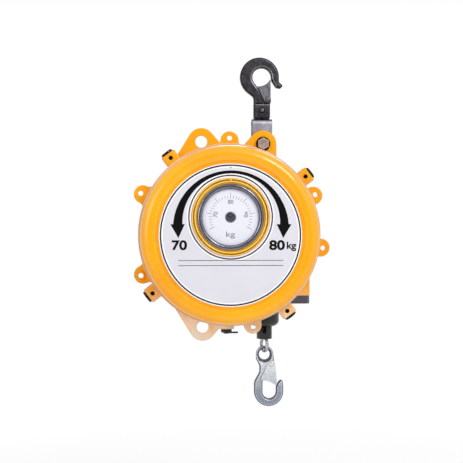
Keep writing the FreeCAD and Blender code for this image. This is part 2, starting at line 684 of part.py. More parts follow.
def arbor_shaft():
    front = POCKET_DEPTH + POCKET_FLOOR + SEAT_GAP
    tip = rod_y(TIP_RADIUS, DIAL_GEAR_DEPTH - 1.0, front, 0, ARBOR_RISE)
    body = tip.fuse(rod_y(ARBOR_RADIUS, front, HUB_BACK - 2.0, 0, ARBOR_RISE))
    return body.cut([key_block(), spring_pin_rod(), arbor_circlip()])


def key_block():
    """The room that the wheel's key takes in the arbor and in the wheel."""
    top = ARBOR_RISE + ARBOR_RADIUS
    return block((-3.0, 3.0), (WHEEL_DEPTH - 2.0, WHEEL_DEPTH + WHEEL_WIDTH), (top - 3.0, top + 2.5))


def wheel_key():
    return key_block()


def bearing(front, width, outer):
    inner_race = ARBOR_RADIUS + RUNNING_CLEARANCE
    return ring_y(inner_race, outer, front, front + width, 0, ARBOR_RISE)


def drum_bearings():
    return group([bearing(DRUM_FRONT + 1.0, BEARING_WIDTH, BEARING_RADIUS),
                  bearing(LID_BACK - LID_HUB_DEPTH, LID_HUB_DEPTH - 1.0, BEARING_RADIUS - 2.5)])


def groove_radius(depth):
    """The radius of the drum's surface under the rope."""
    below = (ROPE_RADIUS + ROPE_TO_DRUM) * math.sqrt(1 + TAPER ** 2)
    return FIRST_WRAP - below + (HOOK_DEPTH - depth) * TAPER


def rope_drum():
    """The tapered drum and the spring case, one casting."""
    front = DRUM_FRONT
    edge = front + DRUM_FLANGE
    inner_case = CASE_RADIUS - CASE_WALL
    web_back = front + DRUM_WALL
    hub = BEARING_RADIUS + DRUM_WALL
    bore_end = front + 1.0 + BEARING_WIDTH
    case_wall = CASE_FRONT + 5.0
    body = turned_y([(BEARING_RADIUS, front + 1.0), (BEARING_RADIUS - 3.0, front + 1.0),
                     (BEARING_RADIUS - 3.0, front),
                     (groove_radius(edge) + ROPE_DIAMETER + 3.0, front),
                     (groove_radius(edge) + ROPE_DIAMETER + 3.0, edge), (groove_radius(edge), edge),
                     (groove_radius(CASE_FRONT), CASE_FRONT), (CASE_RADIUS, CASE_FRONT),
                     (CASE_RADIUS, CASE_BACK), (inner_case, CASE_BACK), (inner_case, case_wall),
                     (groove_radius(case_wall) - DRUM_WALL, case_wall),
                     (groove_radius(web_back) - DRUM_WALL, web_back),
                     (hub, web_back), (hub, bore_end), (BEARING_RADIUS, bore_end)], 0, ARBOR_RISE)
    holes = []
    for n in range(LOCK_HOLES):
        deep = LOCK_TRAVEL - LOCK_GAP + SEAT_GAP
        hole = rod_z(PLUNGER_RADIUS + 0.3, -CASE_RADIUS - 1.0, -CASE_RADIUS + deep, LOCK_X, LOCK_DEPTH)
        hole = hole.rotated(Vector(0, 0, 0), ALONG_Y, n * 360 / LOCK_HOLES)
        holes.append(hole.translated(Vector(0, 0, ARBOR_RISE)))
    holes += lid_screw_rods(CASE_BACK - 10.0, CASE_BACK)
    return body.cut([*holes, outer_pin_rod(), anchor_rod()])


def case_lid():
    hub_front = LID_BACK - LID_HUB_DEPTH
    lid = turned_y([(BEARING_RADIUS - 2.5, hub_front), (LID_HUB_RADIUS, hub_front),
                    (LID_HUB_RADIUS, CASE_BACK), (CASE_RADIUS, CASE_BACK), (CASE_RADIUS, LID_BACK),
                    (BEARING_RADIUS - 5.0, LID_BACK), (BEARING_RADIUS - 5.0, LID_BACK - 1.0),
                    (BEARING_RADIUS - 2.5, LID_BACK - 1.0)], 0, ARBOR_RISE)
    return lid.cut(lid_screw_rods(CASE_BACK, LID_BACK))


def main_spring():
    """A flat spiral strip from the arbor to the case wall, made of half turns."""
    inner = ARBOR_RADIUS + 4.0
    outer = CASE_RADIUS - CASE_WALL - 2.0
    step = (outer - inner - SPRING_STRIP) / (2 * SPRING_COILS)
    rims = []
    for lift in (0.0, SPRING_STRIP):
        edges = []
        left = inner + lift
        centre = 0.0
        for n in range(2 * SPRING_COILS):
            radius = left + n * step
            way = 1 if n % 2 == 0 else -1
            start = Vector(centre + way * radius, 0, 0)
            top = Vector(centre, 0, way * radius)
            end = Vector(centre - way * radius, 0, 0)
            edges.append(Part.Arc(start, top, end).toShape())
            centre += way * step
        rims.append(edges)
    first = rims[0][0].Vertexes[0].Point
    second = rims[1][0].Vertexes[0].Point
    last = rims[0][-1].Vertexes[-1].Point
    other = rims[1][-1].Vertexes[-1].Point
    ends = [Part.LineSegment(first, second).toShape(), Part.LineSegment(last, other).toShape()]
    wire = Part.Wire(Part.__sortEdges__(rims[0] + rims[1] + ends))
    depth = CASE_FRONT + SPRING_INSET
    strip = Part.Face(wire).extrude(Vector(0, SPRING_WIDTH, 0))
    return strip.translated(Vector(0, depth, ARBOR_RISE))


def spring_pin_rod():
    """The room that the pin holding the spring's inner end takes in the arbor."""
    middle = CASE_FRONT + SPRING_INSET + SPRING_WIDTH / 2
    start = Vector(ARBOR_RADIUS - 6.0, middle, ARBOR_RISE)
    return Part.makeCylinder(SPRING_PIN_RADIUS, 9.6, start, ALONG_X)


def rope_on_drum():
    """The wound rope as one closed sleeve on the taper, and the turn that runs off over the top."""
    front = DRUM_FRONT + DRUM_FLANGE + SEAT_GAP
    back = HOOK_DEPTH - ROPE_RADIUS - 1.0
    lift = ROPE_DIAMETER * 1.2
    sleeve = turned_y([(groove_radius(front) + ROPE_TO_DRUM, front), (groove_radius(front) + lift, front),
                       (groove_radius(back) + lift, back), (groove_radius(back) + ROPE_TO_DRUM, back)],
                      0, ARBOR_RISE)
    top = Vector(0, HOOK_DEPTH, ARBOR_RISE + FIRST_WRAP)
    across, up = polar(FIRST_WRAP, 45)
    middle = Vector(across, HOOK_DEPTH, ARBOR_RISE + up)
    side = Vector(ROPE_X, HOOK_DEPTH, ARBOR_RISE)
    return group([sleeve, tube_along([Part.Arc(top, middle, side).toShape()])])


# Worm drive


def wheel_twist():
    """How far a wheel tooth turns over the wheel's width, in radians."""
    return WHEEL_WIDTH * PITCH_LEAD / WHEEL_PITCH_RADIUS


def worm_wheel():
    gear = toothed_wheel(WHEEL_TEETH, WORM_MODULE, WORM_BACKLASH, WHEEL_DEPTH, WHEEL_WIDTH,
                         180 / WHEEL_TEETH, wheel_twist())
    gear = gear.translated(Vector(0, 0, ARBOR_RISE))
    hub = rod_y(24.0, WHEEL_DEPTH - 2.0, WHEEL_DEPTH, 0, ARBOR_RISE)
    bore = rod_y(ARBOR_RADIUS, WHEEL_DEPTH - 3.0, WHEEL_DEPTH + WHEEL_WIDTH + 1.0, 0, ARBOR_RISE)
    return gear.fuse(hub).cut([bore, key_block()])


def worm_room():
    """The lower and upper end of the wide bore round the worm."""
    half = WORM_LENGTH / 2 + 3.0
    return ARBOR_RISE - half, ARBOR_RISE + half


def worm_shaft():
    root = WORM_PITCH_RADIUS - 1.25 * WORM_MODULE
    low = ARBOR_RISE - WORM_LENGTH / 2
    turns_start = low + WORM_PITCH / 2
    length = WORM_LENGTH - WORM_PITCH
    turns = length / WORM_PITCH
    helix = Part.makeHelix(WORM_PITCH, length, root - 0.5)
    slope = math.tan(math.radians(20))
    half = (WORM_PITCH / 2 - WORM_BACKLASH) / 2
    inner_half = half + (WORM_PITCH_RADIUS - root + 0.5) * slope
    outer_half = half - WORM_MODULE * slope
    points = [Vector(root - 0.5, 0, -inner_half), Vector(WORM_OUTER, 0, -outer_half),
              Vector(WORM_OUTER, 0, outer_half), Vector(root - 0.5, 0, inner_half)]
    profile = Part.makePolygon(points + points[:1])
    ridge = Part.Wire(helix).makePipeShell([profile], True, True)
    middle_turn = (ARBOR_RISE - turns_start) / WORM_PITCH
    ridge = ridge.rotated(Vector(0, 0, 0), ALONG_Z, 180 - 360 * (middle_turn % 1.0))
    ridge = ridge.translated(Vector(WORM_X, WORM_DEPTH, turns_start))
    high = WORM_BOX_TOP - WORM_BOX_ROOF - 1.0
    room = worm_room()
    low_end = WORM_BOX_BOTTOM - END_PLATE_THICKNESS
    core = turned_z([(0, high), (WORM_JOURNAL_RADIUS, high), (WORM_JOURNAL_RADIUS, room[1] - 1.0),
                     (root, room[1] - 1.0), (root, room[0] + 1.0), (WORM_JOURNAL_RADIUS, room[0] + 1.0),
                     (WORM_JOURNAL_RADIUS, low_end), (0, low_end)], WORM_X, WORM_DEPTH)
    socket = hexagon(8.0, lambda a, b: Vector(WORM_X + a, WORM_DEPTH + b, low_end))
    return core.fuse(ridge).cut(socket.extrude(Vector(0, 0, 10.0)))


def worm_bushes():
    inner = WORM_JOURNAL_RADIUS + RUNNING_CLEARANCE
    outer = WORM_BUSH_RADIUS
    start = worm_room()[1]
    low = WORM_BOX_BOTTOM
    return group([ring_z(inner, outer, start, WORM_BOX_TOP - WORM_BOX_ROOF, WORM_X, WORM_DEPTH),
                  ring_z(inner, outer, low, low + 16.0, WORM_X, WORM_DEPTH)])


def worm_end_plate():
    low = WORM_BOX_BOTTOM - END_PLATE_THICKNESS
    plate = worm_block(low, WORM_BOX_BOTTOM)
    plate = plate.makeChamfer(END_PLATE_CHAMFER, [e for e in plate.Edges if abs(e.tangentAt(0).z) > 0.9])
    places = end_plate_places()
    holes = [rod_z(END_SCREW_RADIUS, low + 1.0, WORM_BOX_BOTTOM, x, depth) for x, depth in places]
    holes += [rod_z(END_SCREW_RADIUS + 2.0, low, low + 1.0, x, depth) for x, depth in places]
    journal = rod_z(WORM_JOURNAL_RADIUS + SEAT_GAP, low - 1.0, WORM_BOX_BOTTOM + 1.0, WORM_X, WORM_DEPTH)
    return plate.cut([journal, *holes])


# Clamp bolts and screws


def clamp_bolts():
    bolts = []
    for degrees in BOSS_ANGLES:
        start = HOUSING_INNER - SKIRT_WALL
        shank = rod_x(CLAMP_BOLT_RADIUS, start, BOSS_END, clamp_depth())
        head = rod_x(CLAMP_HEAD_RADIUS, BOSS_END, BOSS_END + CLAMP_HEAD_HEIGHT, clamp_depth())
        bolts.append(on_radius(shank.fuse(head), degrees))
    return group(bolts)


def set_screws():
    end = clamp_depth() - CLAMP_BOLT_RADIUS - 0.2
    screws = []
    for degrees in BOSS_ANGLES:
        screws.append(on_radius(rod_y(SET_SCREW_RADIUS, BOSS_FRONT - 0.5, end, SET_SCREW_CIRCLE, 0), degrees))
    return group(screws)


# Suspension


def suspension_bolt():
    front, rear = lug_fronts()
    end = rear + SUSPENSION_LUG_THICKNESS + 16.0
    under = front - SUSPENSION_WASHER
    shank = rod_y(SUSPENSION_BOLT_RADIUS, under, end, SUSPENSION_X, SUSPENSION_Z)
    head = hex_y(SUSPENSION_HEAD_FLATS, under - SUSPENSION_HEAD_HEIGHT, under, SUSPENSION_X, SUSPENSION_Z)
    return shank.fuse(head)


def suspension_nut():
    start = lug_fronts()[1] + SUSPENSION_LUG_THICKNESS + SUSPENSION_WASHER
    end = start + SUSPENSION_NUT_HEIGHT
    nut = hex_y(SUSPENSION_HEAD_FLATS, start, end, SUSPENSION_X, SUSPENSION_Z)
    return nut.cut(rod_y(SUSPENSION_BOLT_RADIUS, start, end, SUSPENSION_X, SUSPENSION_Z))


def suspension_washers():
    front, rear = lug_fronts()
    back = rear + SUSPENSION_LUG_THICKNESS
    inner, outer = SUSPENSION_BOLT_RADIUS, SUSPENSION_WASHER_RADIUS
    return group([ring_y(inner, outer, front - SUSPENSION_WASHER, front, SUSPENSION_X, SUSPENSION_Z),
                  ring_y(inner, outer, back, back + SUSPENSION_WASHER, SUSPENSION_X, SUSPENSION_Z)])


def pivot_bush():
    """The bush on the bolt, between the lugs, that the yoke turns on."""
    front = lug_fronts()[0] + SUSPENSION_LUG_THICKNESS
    back = lug_fronts()[1]
    return ring_y(SUSPENSION_BOLT_RADIUS, PIVOT_BUSH_RADIUS, front, back, SUSPENSION_X, SUSPENSION_Z)


def yoke():
    """A plate bent to a U over the bush, with the swivel's hole in its top."""
    half = YOKE_DEPTH / 2
    turn = YOKE_BEND * (1 - math.sqrt(0.5))
    inner = YOKE_BEND - YOKE_PLATE
    back_turn = YOKE_PLATE + inner * (1 - math.sqrt(0.5))
    low = SUSPENSION_Z - YOKE_WIDTH / 2 - 1.0
    face = face_of([(-half, low), (-half, YOKE_TOP - YOKE_BEND),
                    (-half + turn, YOKE_TOP - turn, -half + YOKE_BEND, YOKE_TOP),
                    (half - YOKE_BEND, YOKE_TOP),
                    (half - turn, YOKE_TOP - turn, half, YOKE_TOP - YOKE_BEND),
                    (half, low), (half - YOKE_PLATE, low), (half - YOKE_PLATE, YOKE_TOP - YOKE_BEND),
                    (half - back_turn, YOKE_TOP - back_turn, half - YOKE_BEND, YOKE_TOP - YOKE_PLATE),
                    (-half + YOKE_BEND, YOKE_TOP - YOKE_PLATE),
                    (-half + back_turn, YOKE_TOP - back_turn, -half + YOKE_PLATE, YOKE_TOP - YOKE_BEND),
                    (-half + YOKE_PLATE, low)],
                   lambda y, z: Vector(SUSPENSION_X - YOKE_WIDTH / 2, HOOK_DEPTH + y, z))
    strip = face.extrude(Vector(YOKE_WIDTH, 0, 0))
    side = YOKE_WIDTH / 2
    outline = slab([(SUSPENSION_X - side, YOKE_TOP + 1), (SUSPENSION_X + side, YOKE_TOP + 1),
                    (SUSPENSION_X + side, SUSPENSION_Z),
                    (SUSPENSION_X, SUSPENSION_Z - side, SUSPENSION_X - side, SUSPENSION_Z)],
                   HOOK_DEPTH - half, YOKE_DEPTH)
    body = strip.common(outline)
    pivot = rod_y(PIVOT_BUSH_RADIUS + RUNNING_CLEARANCE, HOOK_DEPTH - half, HOOK_DEPTH + half,
                  SUSPENSION_X, SUSPENSION_Z)
    stud = rod_z(STUD_RADIUS + RUNNING_CLEARANCE, YOKE_TOP - 10, YOKE_TOP + 1, SUSPENSION_X, HOOK_DEPTH)
    return body.cut([pivot, stud])


def swivel_washer():
    return ring_z(STUD_RADIUS + RUNNING_CLEARANCE, SOCKET_HALF_WIDTH, YOKE_TOP, YOKE_TOP + SWIVEL_WASHER,
                  SUSPENSION_X, HOOK_DEPTH)


def socket_bottom():
    return YOKE_TOP + SWIVEL_WASHER + SEAT_GAP


def swivel_stud():
    """The bolt that hangs the yoke in the hook's socket, its head inside the yoke."""
    under = YOKE_TOP - YOKE_PLATE - SEAT_GAP
    top = HOOK_CENTRE_Z + SOCKET_TOP - SOCKET_ROOF
    low = under - STUD_HEAD_HEIGHT
    body = rod_z(STUD_RADIUS, under, top, SUSPENSION_X, HOOK_DEPTH)
    head = turned_z([(0, low), (STUD_HEAD_RADIUS, low), (STUD_HEAD_RADIUS, under - 2.5),
                     (STUD_HEAD_TOP, under), (0, under)], SUSPENSION_X, HOOK_DEPTH)
    return body.fuse(head).cut(pin_rod())


def pin_height():
    return HOOK_CENTRE_Z - CROSS_PIN_DROP


def pin_rod():
    half = HOOK_THICKNESS / 2 + SOCKET_EDGE
    return rod_y(CROSS_PIN_RADIUS, HOOK_DEPTH - half, HOOK_DEPTH + half, SUSPENSION_X, pin_height())


def swivel_pin():
    """The cross pin of the swivel with a rounded head at each end."""
    half = HOOK_THICKNESS / 2 + SOCKET_EDGE
    head, pin = CROSS_PIN_HEAD, CROSS_PIN_RADIUS
    return turned_y([(0, -half - 2.8), (2.6, -half - 2.4), (4.4, -half - 1.2), (head, -half), (pin, -half),
                     (pin, half), (head, half), (4.4, half + 1.2), (2.6, half + 2.4), (0, half + 2.8)],
                    SUSPENSION_X, pin_height()).translated(Vector(0, HOOK_DEPTH, 0))


# Hooks


def forged(steps, thickness, chamfer, x, z):
    """A forging: a flat outline with its long edges taken off on both sides."""
    body = slab(steps, -thickness / 2, thickness)
    edges = []
    for edge in body.Edges:
        box = edge.BoundBox
        if box.YLength < 0.01:
            edges.append(edge)
    return body.makeChamfer(chamfer, edges).translated(Vector(x, HOOK_DEPTH, z))


def top_hook():
    """The snap hook and its socket, drawn from the centre of its bowl."""
    bowl = HOOK_OPENING
    outer = TOP_HOOK_OUTER
    left = TOP_HOOK_SHIFT - outer
    right = TOP_HOOK_SHIFT + outer
    high = outer + 0.5
    half = SOCKET_HALF_WIDTH
    corners = [(-half, SOCKET_TOP, 0), (-half, -33.5, 8), (left, -15.7, outer), (left, high, outer),
               (right, high, outer), (right, -8.0, 6), (36.2, -14.0, 2.8), (31.5, -18.6, 3.5),
               (24.0, -16.8, 3), (bowl, -4.5, 12), (bowl, bowl, bowl), (-bowl, bowl, bowl),
               (-bowl, -5.5, bowl), (3.0, -30.0, 5), (15.0, -31.2, 4.5), (15.4, -41.0, 3),
               (half, SOCKET_TOP, 0)]
    body = forged(rounded(corners), HOOK_THICKNESS, TOP_HOOK_CHAMFER, SUSPENSION_X, HOOK_CENTRE_Z)
    low = socket_bottom()
    top = HOOK_CENTRE_Z + SOCKET_TOP
    depth = HOOK_THICKNESS / 2 + SOCKET_EDGE
    socket = block((SUSPENSION_X - half, SUSPENSION_X + half), (HOOK_DEPTH - depth, HOOK_DEPTH + depth),
                   (low, top))
    socket = socket.makeChamfer(3.0, [e for e in socket.Edges if abs(e.tangentAt(0).z) > 0.9])
    body = body.fuse(socket)
    stud = rod_z(STUD_RADIUS, low - 1.0, top - SOCKET_ROOF, SUSPENSION_X, HOOK_DEPTH)
    rivet = rod_y(RIVET_RADIUS, HOOK_DEPTH - 20, HOOK_DEPTH + 20, SUSPENSION_X + TOP_RIVET[0],
                  HOOK_CENTRE_Z + TOP_RIVET[1])
    slot = spring_slot(TOP_RIVET, 1, SUSPENSION_X, HOOK_CENTRE_Z)
    return body.cut([stud, rivet, slot, pin_rod()])


def load_hook():
    """The snap hook at the rope's end, drawn from the centre of its eye."""
    eye = EYE_RADIUS
    outer = 24.8
    left = 7.4 - outer
    right = 7.4 + outer
    low = -63.6 - outer
    inner_left = -3.2
    inner_right = 19.8
    inner_low = -75.6
    inner = (inner_right - inner_left) / 2
    corners = [(-eye, eye, eye), (eye, eye, eye), (16.6, -14.0, 8), (14.5, -22.0, 4), (3.5, -30.0, 8),
               (inner_left, -46.0, 14), (inner_left, inner_low, inner), (inner_right, inner_low, inner),
               (inner_right, -55.0, 10), (25.5, -45.0, 3), (30.6, -43.6, 2.8), (right, -54.0, 12),
               (right, low, outer), (left, low, outer), (left, -47.0, 14), (-8.2, -30.5, 12),
               (-8.4, -19.5, 10), (-eye, -8.0, 8)]
    body = forged(rounded(corners), LOAD_HOOK_THICKNESS, LOAD_HOOK_CHAMFER, ROPE_X, EYE_Z)
    land = EYE_LAND / 2
    wide = LOAD_HOOK_THICKNESS / 2 + 2.0
    bore = turned_y([(0, -wide), (EYE_HOLE + wide - land, -wide), (EYE_HOLE, -land), (EYE_HOLE, land),
                     (EYE_HOLE + wide - land, wide), (0, wide)])
    bore = bore.translated(Vector(ROPE_X, HOOK_DEPTH, EYE_Z))
    rivet = rod_y(RIVET_RADIUS, HOOK_DEPTH - 20, HOOK_DEPTH + 20, ROPE_X + LOAD_RIVET[0],
                  EYE_Z + LOAD_RIVET[1])
    return body.cut([bore, rivet, spring_slot(LOAD_RIVET, -1, ROPE_X, EYE_Z)])


def pressed_latch(cheek, spine, half_inside, rivet, x, z):
    """A latch of two cheeks and the spine that joins them, from outlines round the hook's centre."""
    half = half_inside + LATCH_PLATE
    body = slab(cheek, HOOK_DEPTH - half, LATCH_PLATE)
    body = body.fuse([slab(cheek, HOOK_DEPTH + half_inside, LATCH_PLATE),
                      slab(spine, HOOK_DEPTH - half, 2 * half)])
    hole = rod_y(RIVET_RADIUS + RUNNING_CLEARANCE, HOOK_DEPTH - half, HOOK_DEPTH + half, rivet[0], rivet[1])
    return body.cut(hole).removeSplitter().translated(Vector(x, 0, z))


def top_latch():
    cheek = [(-7.7, -15.6), (4.5, -13.2, 13.6, -4.4), (14.4, -4.4), (14.4, -37.5), (10.0, -43.0),
             (4.4, -41.0)]
    spine = [(12.4, -30.0), (14.4, -30.0), (14.4, -4.4), (12.4, -5.6)]
    return pressed_latch(cheek, spine, HOOK_THICKNESS / 2 + LATCH_GAP, TOP_RIVET, SUSPENSION_X, HOOK_CENTRE_Z)


def load_latch():
    cheek = [(6.9, -13.5), (11.0, -10.6, 17.6, -13.2), (21.4, -50.6), (17.4, -51.8),
             (7.0, -45.6, -4.2, -44.2), (-6.6, -42.4)]
    spine = [(16.9, -27.0), (18.9, -27.0), (21.4, -50.6), (19.4, -50.9)]
    return pressed_latch(cheek, spine, LOAD_HOOK_THICKNESS / 2 + LATCH_GAP, LOAD_RIVET, ROPE_X, EYE_Z)


def latch_rivet(rivet, half_inside, x, z):
    end = half_inside + LATCH_PLATE + 0.2
    shank = rod_y(RIVET_RADIUS, HOOK_DEPTH - end, HOOK_DEPTH + end, x + rivet[0], z + rivet[1])
    heads = [rod_y(RIVET_RADIUS + 1.4, HOOK_DEPTH - end - 1.4, HOOK_DEPTH - end, x + rivet[0], z + rivet[1]),
             rod_y(RIVET_RADIUS + 1.4, HOOK_DEPTH + end, HOOK_DEPTH + end + 1.4, x + rivet[0], z + rivet[1])]
    return shank.fuse(heads)


def square_coil(pitch, length, radius, wire):
    """A coil of square wire standing on the origin, from its middle line's pitch, length and radius."""
    helix = Part.Wire(Part.makeHelix(pitch, length, radius))
    half = wire / 2
    corners = [Vector(radius - half, 0, -half), Vector(radius + half, 0, -half),
               Vector(radius + half, 0, half), Vector(radius - half, 0, half)]
    return helix.makePipeShell([Part.makePolygon(corners + corners[:1])], True, True)


def spring_slot(rivet, way, x, z):
    """The slot in a hook that its latch's spring sits in, longer where the spring's leg points."""
    reach = RIVET_RADIUS + SEAT_GAP + LATCH_WIRE + SIDE_GAP
    half = LATCH_COILS * LATCH_COIL_PITCH / 2 + LATCH_WIRE
    ends = sorted((-way * reach, way * (LATCH_LEG + SIDE_GAP)))
    left = x + rivet[0] - reach
    middle = z + rivet[1]
    return block((left, left + 4 * reach), (HOOK_DEPTH - half, HOOK_DEPTH + half),
                 (middle + ends[0], middle + ends[1]))


def latch_spring(rivet, way, x, z):
    """A coil round a latch's rivet, with a leg that points up (1) or down (-1)."""
    radius = RIVET_RADIUS + SEAT_GAP + LATCH_WIRE / 2
    length = LATCH_COILS * LATCH_COIL_PITCH
    half = LATCH_WIRE / 2
    leg = Part.makeBox(LATCH_WIRE, LATCH_LEG, LATCH_WIRE, Vector(radius - half, -LATCH_LEG, -half))
    spring = square_coil(LATCH_COIL_PITCH, length, radius, LATCH_WIRE).fuse(leg)
    spring = spring.translated(Vector(0, 0, -length / 2))
    spring = spring.rotated(Vector(0, 0, 0), ALONG_X, -90 * way)
    return spring.translated(Vector(x + rivet[0], HOOK_DEPTH, z + rivet[1]))


def top_latch_spring():
    return latch_spring(TOP_RIVET, 1, SUSPENSION_X, HOOK_CENTRE_Z)


def load_latch_spring():
    return latch_spring(LOAD_RIVET, -1, ROPE_X, EYE_Z)


def top_latch_rivet():
    return latch_rivet(TOP_RIVET, HOOK_THICKNESS / 2 + LATCH_GAP, SUSPENSION_X, HOOK_CENTRE_Z)


def load_latch_rivet():
    return latch_rivet(LOAD_RIVET, LOAD_HOOK_THICKNESS / 2 + LATCH_GAP, ROPE_X, EYE_Z)


# Rope outlet


def rope_guide():
    """The funnel that leads the rope out of the housing."""
    neck = GUIDE_RADIUS - GUIDE_WALL
    flare = GUIDE_RADIUS
    mouth = GUIDE_MOUTH
    return turned_z([(GUIDE_BORE, GUIDE_TOP - GUIDE_FLARE), (mouth, GUIDE_TOP), (neck, GUIDE_TOP),
                     (neck, GUIDE_SEAT), (flare, GUIDE_SEAT), (flare, GUIDE_BOTTOM + GUIDE_ROUNDING),
                     (flare - GUIDE_ROUNDING, GUIDE_BOTTOM), (mouth, GUIDE_BOTTOM),
                     (GUIDE_BORE, GUIDE_BOTTOM + GUIDE_FLARE)], ROPE_X, HOOK_DEPTH)


def stop_sleeve():
    """The sleeve that meets the guide when the rope is all the way in."""
    inner = SLEEVE_RADIUS - SLEEVE_WALL
    floor = FERRULE_TOP + SEAT_GAP
    return turned_z([(ROPE_RADIUS + 0.1, SLEEVE_TOP), (SLEEVE_RADIUS, SLEEVE_TOP),
                     (SLEEVE_RADIUS, SLEEVE_BOTTOM + 1.0), (SLEEVE_RADIUS - 0.5, SLEEVE_BOTTOM),
                     (inner, SLEEVE_BOTTOM), (inner, floor), (ROPE_RADIUS + 0.1, floor)], ROPE_X, HOOK_DEPTH)


def rope_ferrule():
    """The pressed ferrule inside the sleeve."""
    return rod_z(FERRULE_RADIUS, FERRULE_BOTTOM, FERRULE_TOP, ROPE_X, HOOK_DEPTH)


def tube_along(edges):
    """A round rope along a path of lines and tangent arcs."""
    wire = Part.Wire(edges)
    start = wire.Edges[0].firstVertex().Point
    way = wire.Edges[0].tangentAt(wire.Edges[0].FirstParameter)
    ring = Part.Wire(Part.makeCircle(ROPE_RADIUS, start, way))
    return wire.makePipeShell([ring], True, True)


def rope_run():
    """The rope from the side of its last turn on the drum, straight down to the ferrule."""
    return rod_z(ROPE_RADIUS, FERRULE_TOP, ARBOR_RISE, ROPE_X, HOOK_DEPTH)


def rope_eye():
    """The loop of rope under the ferrule that the load hook hangs in, turned a little as in use."""
    centre = EYE_Z + LOOP_LIFT
    across, up = polar(LOOP_RADIUS, LOOP_LEAN)
    top = FERRULE_BOTTOM + 2.4
    run = (top - centre - up) * math.tan(math.radians(LOOP_LEAN))
    low = Vector(0, 0, centre - LOOP_RADIUS)
    points = [Vector(0, -across + run, top), Vector(0, -across, centre + up), low,
              Vector(0, across, centre + up), Vector(0, across - run, top)]
    loop = tube_along([Part.LineSegment(points[0], points[1]).toShape(),
                       Part.Arc(points[1], points[2], points[3]).toShape(),
                       Part.LineSegment(points[3], points[4]).toShape()])
    loop = loop.rotated(Vector(0, 0, 0), ALONG_Z, LOOP_TURN).translated(Vector(ROPE_X, HOOK_DEPTH, 0))
    return loop.cut(rod_z(FERRULE_RADIUS, FERRULE_BOTTOM, FERRULE_BOTTOM + 20.0, ROPE_X, HOOK_DEPTH))


# Lock


def lock_plunger():
    return rod_z(PLUNGER_RADIUS, KNOB_TOP, ARBOR_RISE - CASE_RADIUS - LOCK_GAP, LOCK_X, LOCK_DEPTH)


def lock_knob():
    """The knob in the well of the lock's boss, with a wing on its right."""
    stub = KNOB_BOTTOM - KNOB_STUB
    body = turned_z([(0, KNOB_TOP), (KNOB_RADIUS, KNOB_TOP), (KNOB_RADIUS, KNOB_BOTTOM + 1.0),
                     (KNOB_RADIUS - 1.0, KNOB_BOTTOM), (KNOB_STUB_RADIUS, KNOB_BOTTOM),
                     (KNOB_STUB_RADIUS, stub), (0, stub)], LOCK_X, LOCK_DEPTH)
    return body.fuse(lock_wing())


def lock_wing():
    low = KNOB_TOP - WING_LOW
    return block((LOCK_X, LOCK_X + WING_REACH), (LOCK_DEPTH - WING_WIDTH / 2, LOCK_DEPTH + WING_WIDTH / 2),
                 (low, low + WING_HEIGHT))


def lock_spring():
    """A short coil of square wire round the plunger, between the housing and the knob."""
    wire = LOCK_WIRE
    radius = PLUNGER_RADIUS + 1.6
    low = KNOB_TOP + wire / 2 + 0.1
    length = LOCK_WELL_TOP - KNOB_TOP - wire - 0.2
    return square_coil(length / 3, length, radius, wire).translated(Vector(LOCK_X, LOCK_DEPTH, low))


# Rear


def arbor_bushes():
    hub_back = POCKET_DEPTH + POCKET_FLOOR + FRONT_HUB_LENGTH
    inner = ARBOR_RADIUS + RUNNING_CLEARANCE
    return group([ring_y(inner, BUSH_RADIUS, hub_back - FRONT_BUSH_LENGTH, hub_back, 0, ARBOR_RISE),
                  ring_y(inner, BUSH_RADIUS, BACK_INNER, HUB_BACK, 0, ARBOR_RISE)])


def rear_cap():
    radius = BUSH_RADIUS + REAR_HUB_WALL
    back = HUB_BACK + REAR_CAP_THICKNESS
    cap = turned_y([(0, HUB_BACK), (radius, HUB_BACK), (radius, back - 1.5), (radius - 1.5, back), (0, back)],
                   0, ARBOR_RISE)
    return cap.cut(rear_screw_rods(back))


def screw_rods(count, circle, front, back, radius, first):
    """Rods on a circle round the arbor, as the room that screws take."""
    rods = []
    for n in range(count):
        x, z = polar(circle, first + 360 * n / count)
        rods.append(rod_y(radius, front, back, x, ARBOR_RISE + z))
    return rods


def rear_screw_rods(back):
    """The room of the three rear cap screws, up to a depth."""
    front = HUB_BACK - REAR_SCREW_REACH
    return screw_rods(3, REAR_SCREW_CIRCLE, front, back, SMALL_SCREW_RADIUS, 30)


def lid_screw_rods(front, back):
    """The room of the lid's screws between two depths."""
    return screw_rods(LID_SCREWS, LID_SCREW_CIRCLE, front, back, SMALL_SCREW_RADIUS, 45)


def headed(rods, height):
    """Screws: rods along the depth, each with a hexagon head behind it."""
    screws = []
    for rod in rods:
        box = rod.BoundBox
        head = hex_y(SMALL_SCREW_HEAD, box.YMax, box.YMax + height, box.Center.x, box.Center.z)
        screws.append(rod.fuse(head))
    return group(screws)


def rear_cap_screws():
    return headed(rear_screw_rods(HUB_BACK + REAR_CAP_THICKNESS), 3.5)


def lid_screws():
    return headed(lid_screw_rods(CASE_BACK - 10.0, LID_BACK), 3.0)


def end_plate_places():
    reach = WORM_BOX_HALF - 6.0
    return [(WORM_X + i * reach, WORM_DEPTH + j * reach) for i, j in ((-1, -1), (-1, 1), (1, 1), (1, -1))]


def end_plate_screws():
    low = WORM_BOX_BOTTOM - END_PLATE_THICKNESS
    screws = []
    for x, depth in end_plate_places():
        screws.append(rod_z(END_SCREW_RADIUS, low + 1.0, WORM_BOX_BOTTOM + END_SCREW_REACH, x, depth))
    return group(screws)


def outer_pin_rod():
    """The room that the pin at the spring's outer end takes in the case, between two lock holes."""
    middle = CASE_FRONT + SPRING_INSET + SPRING_WIDTH / 2
    start = Vector(CASE_RADIUS - CASE_WALL - 1.5, middle, ARBOR_RISE)
    return Part.makeCylinder(SPRING_PIN_RADIUS, CASE_WALL, start, ALONG_X)


def spring_inner_pin():
    return spring_pin_rod()


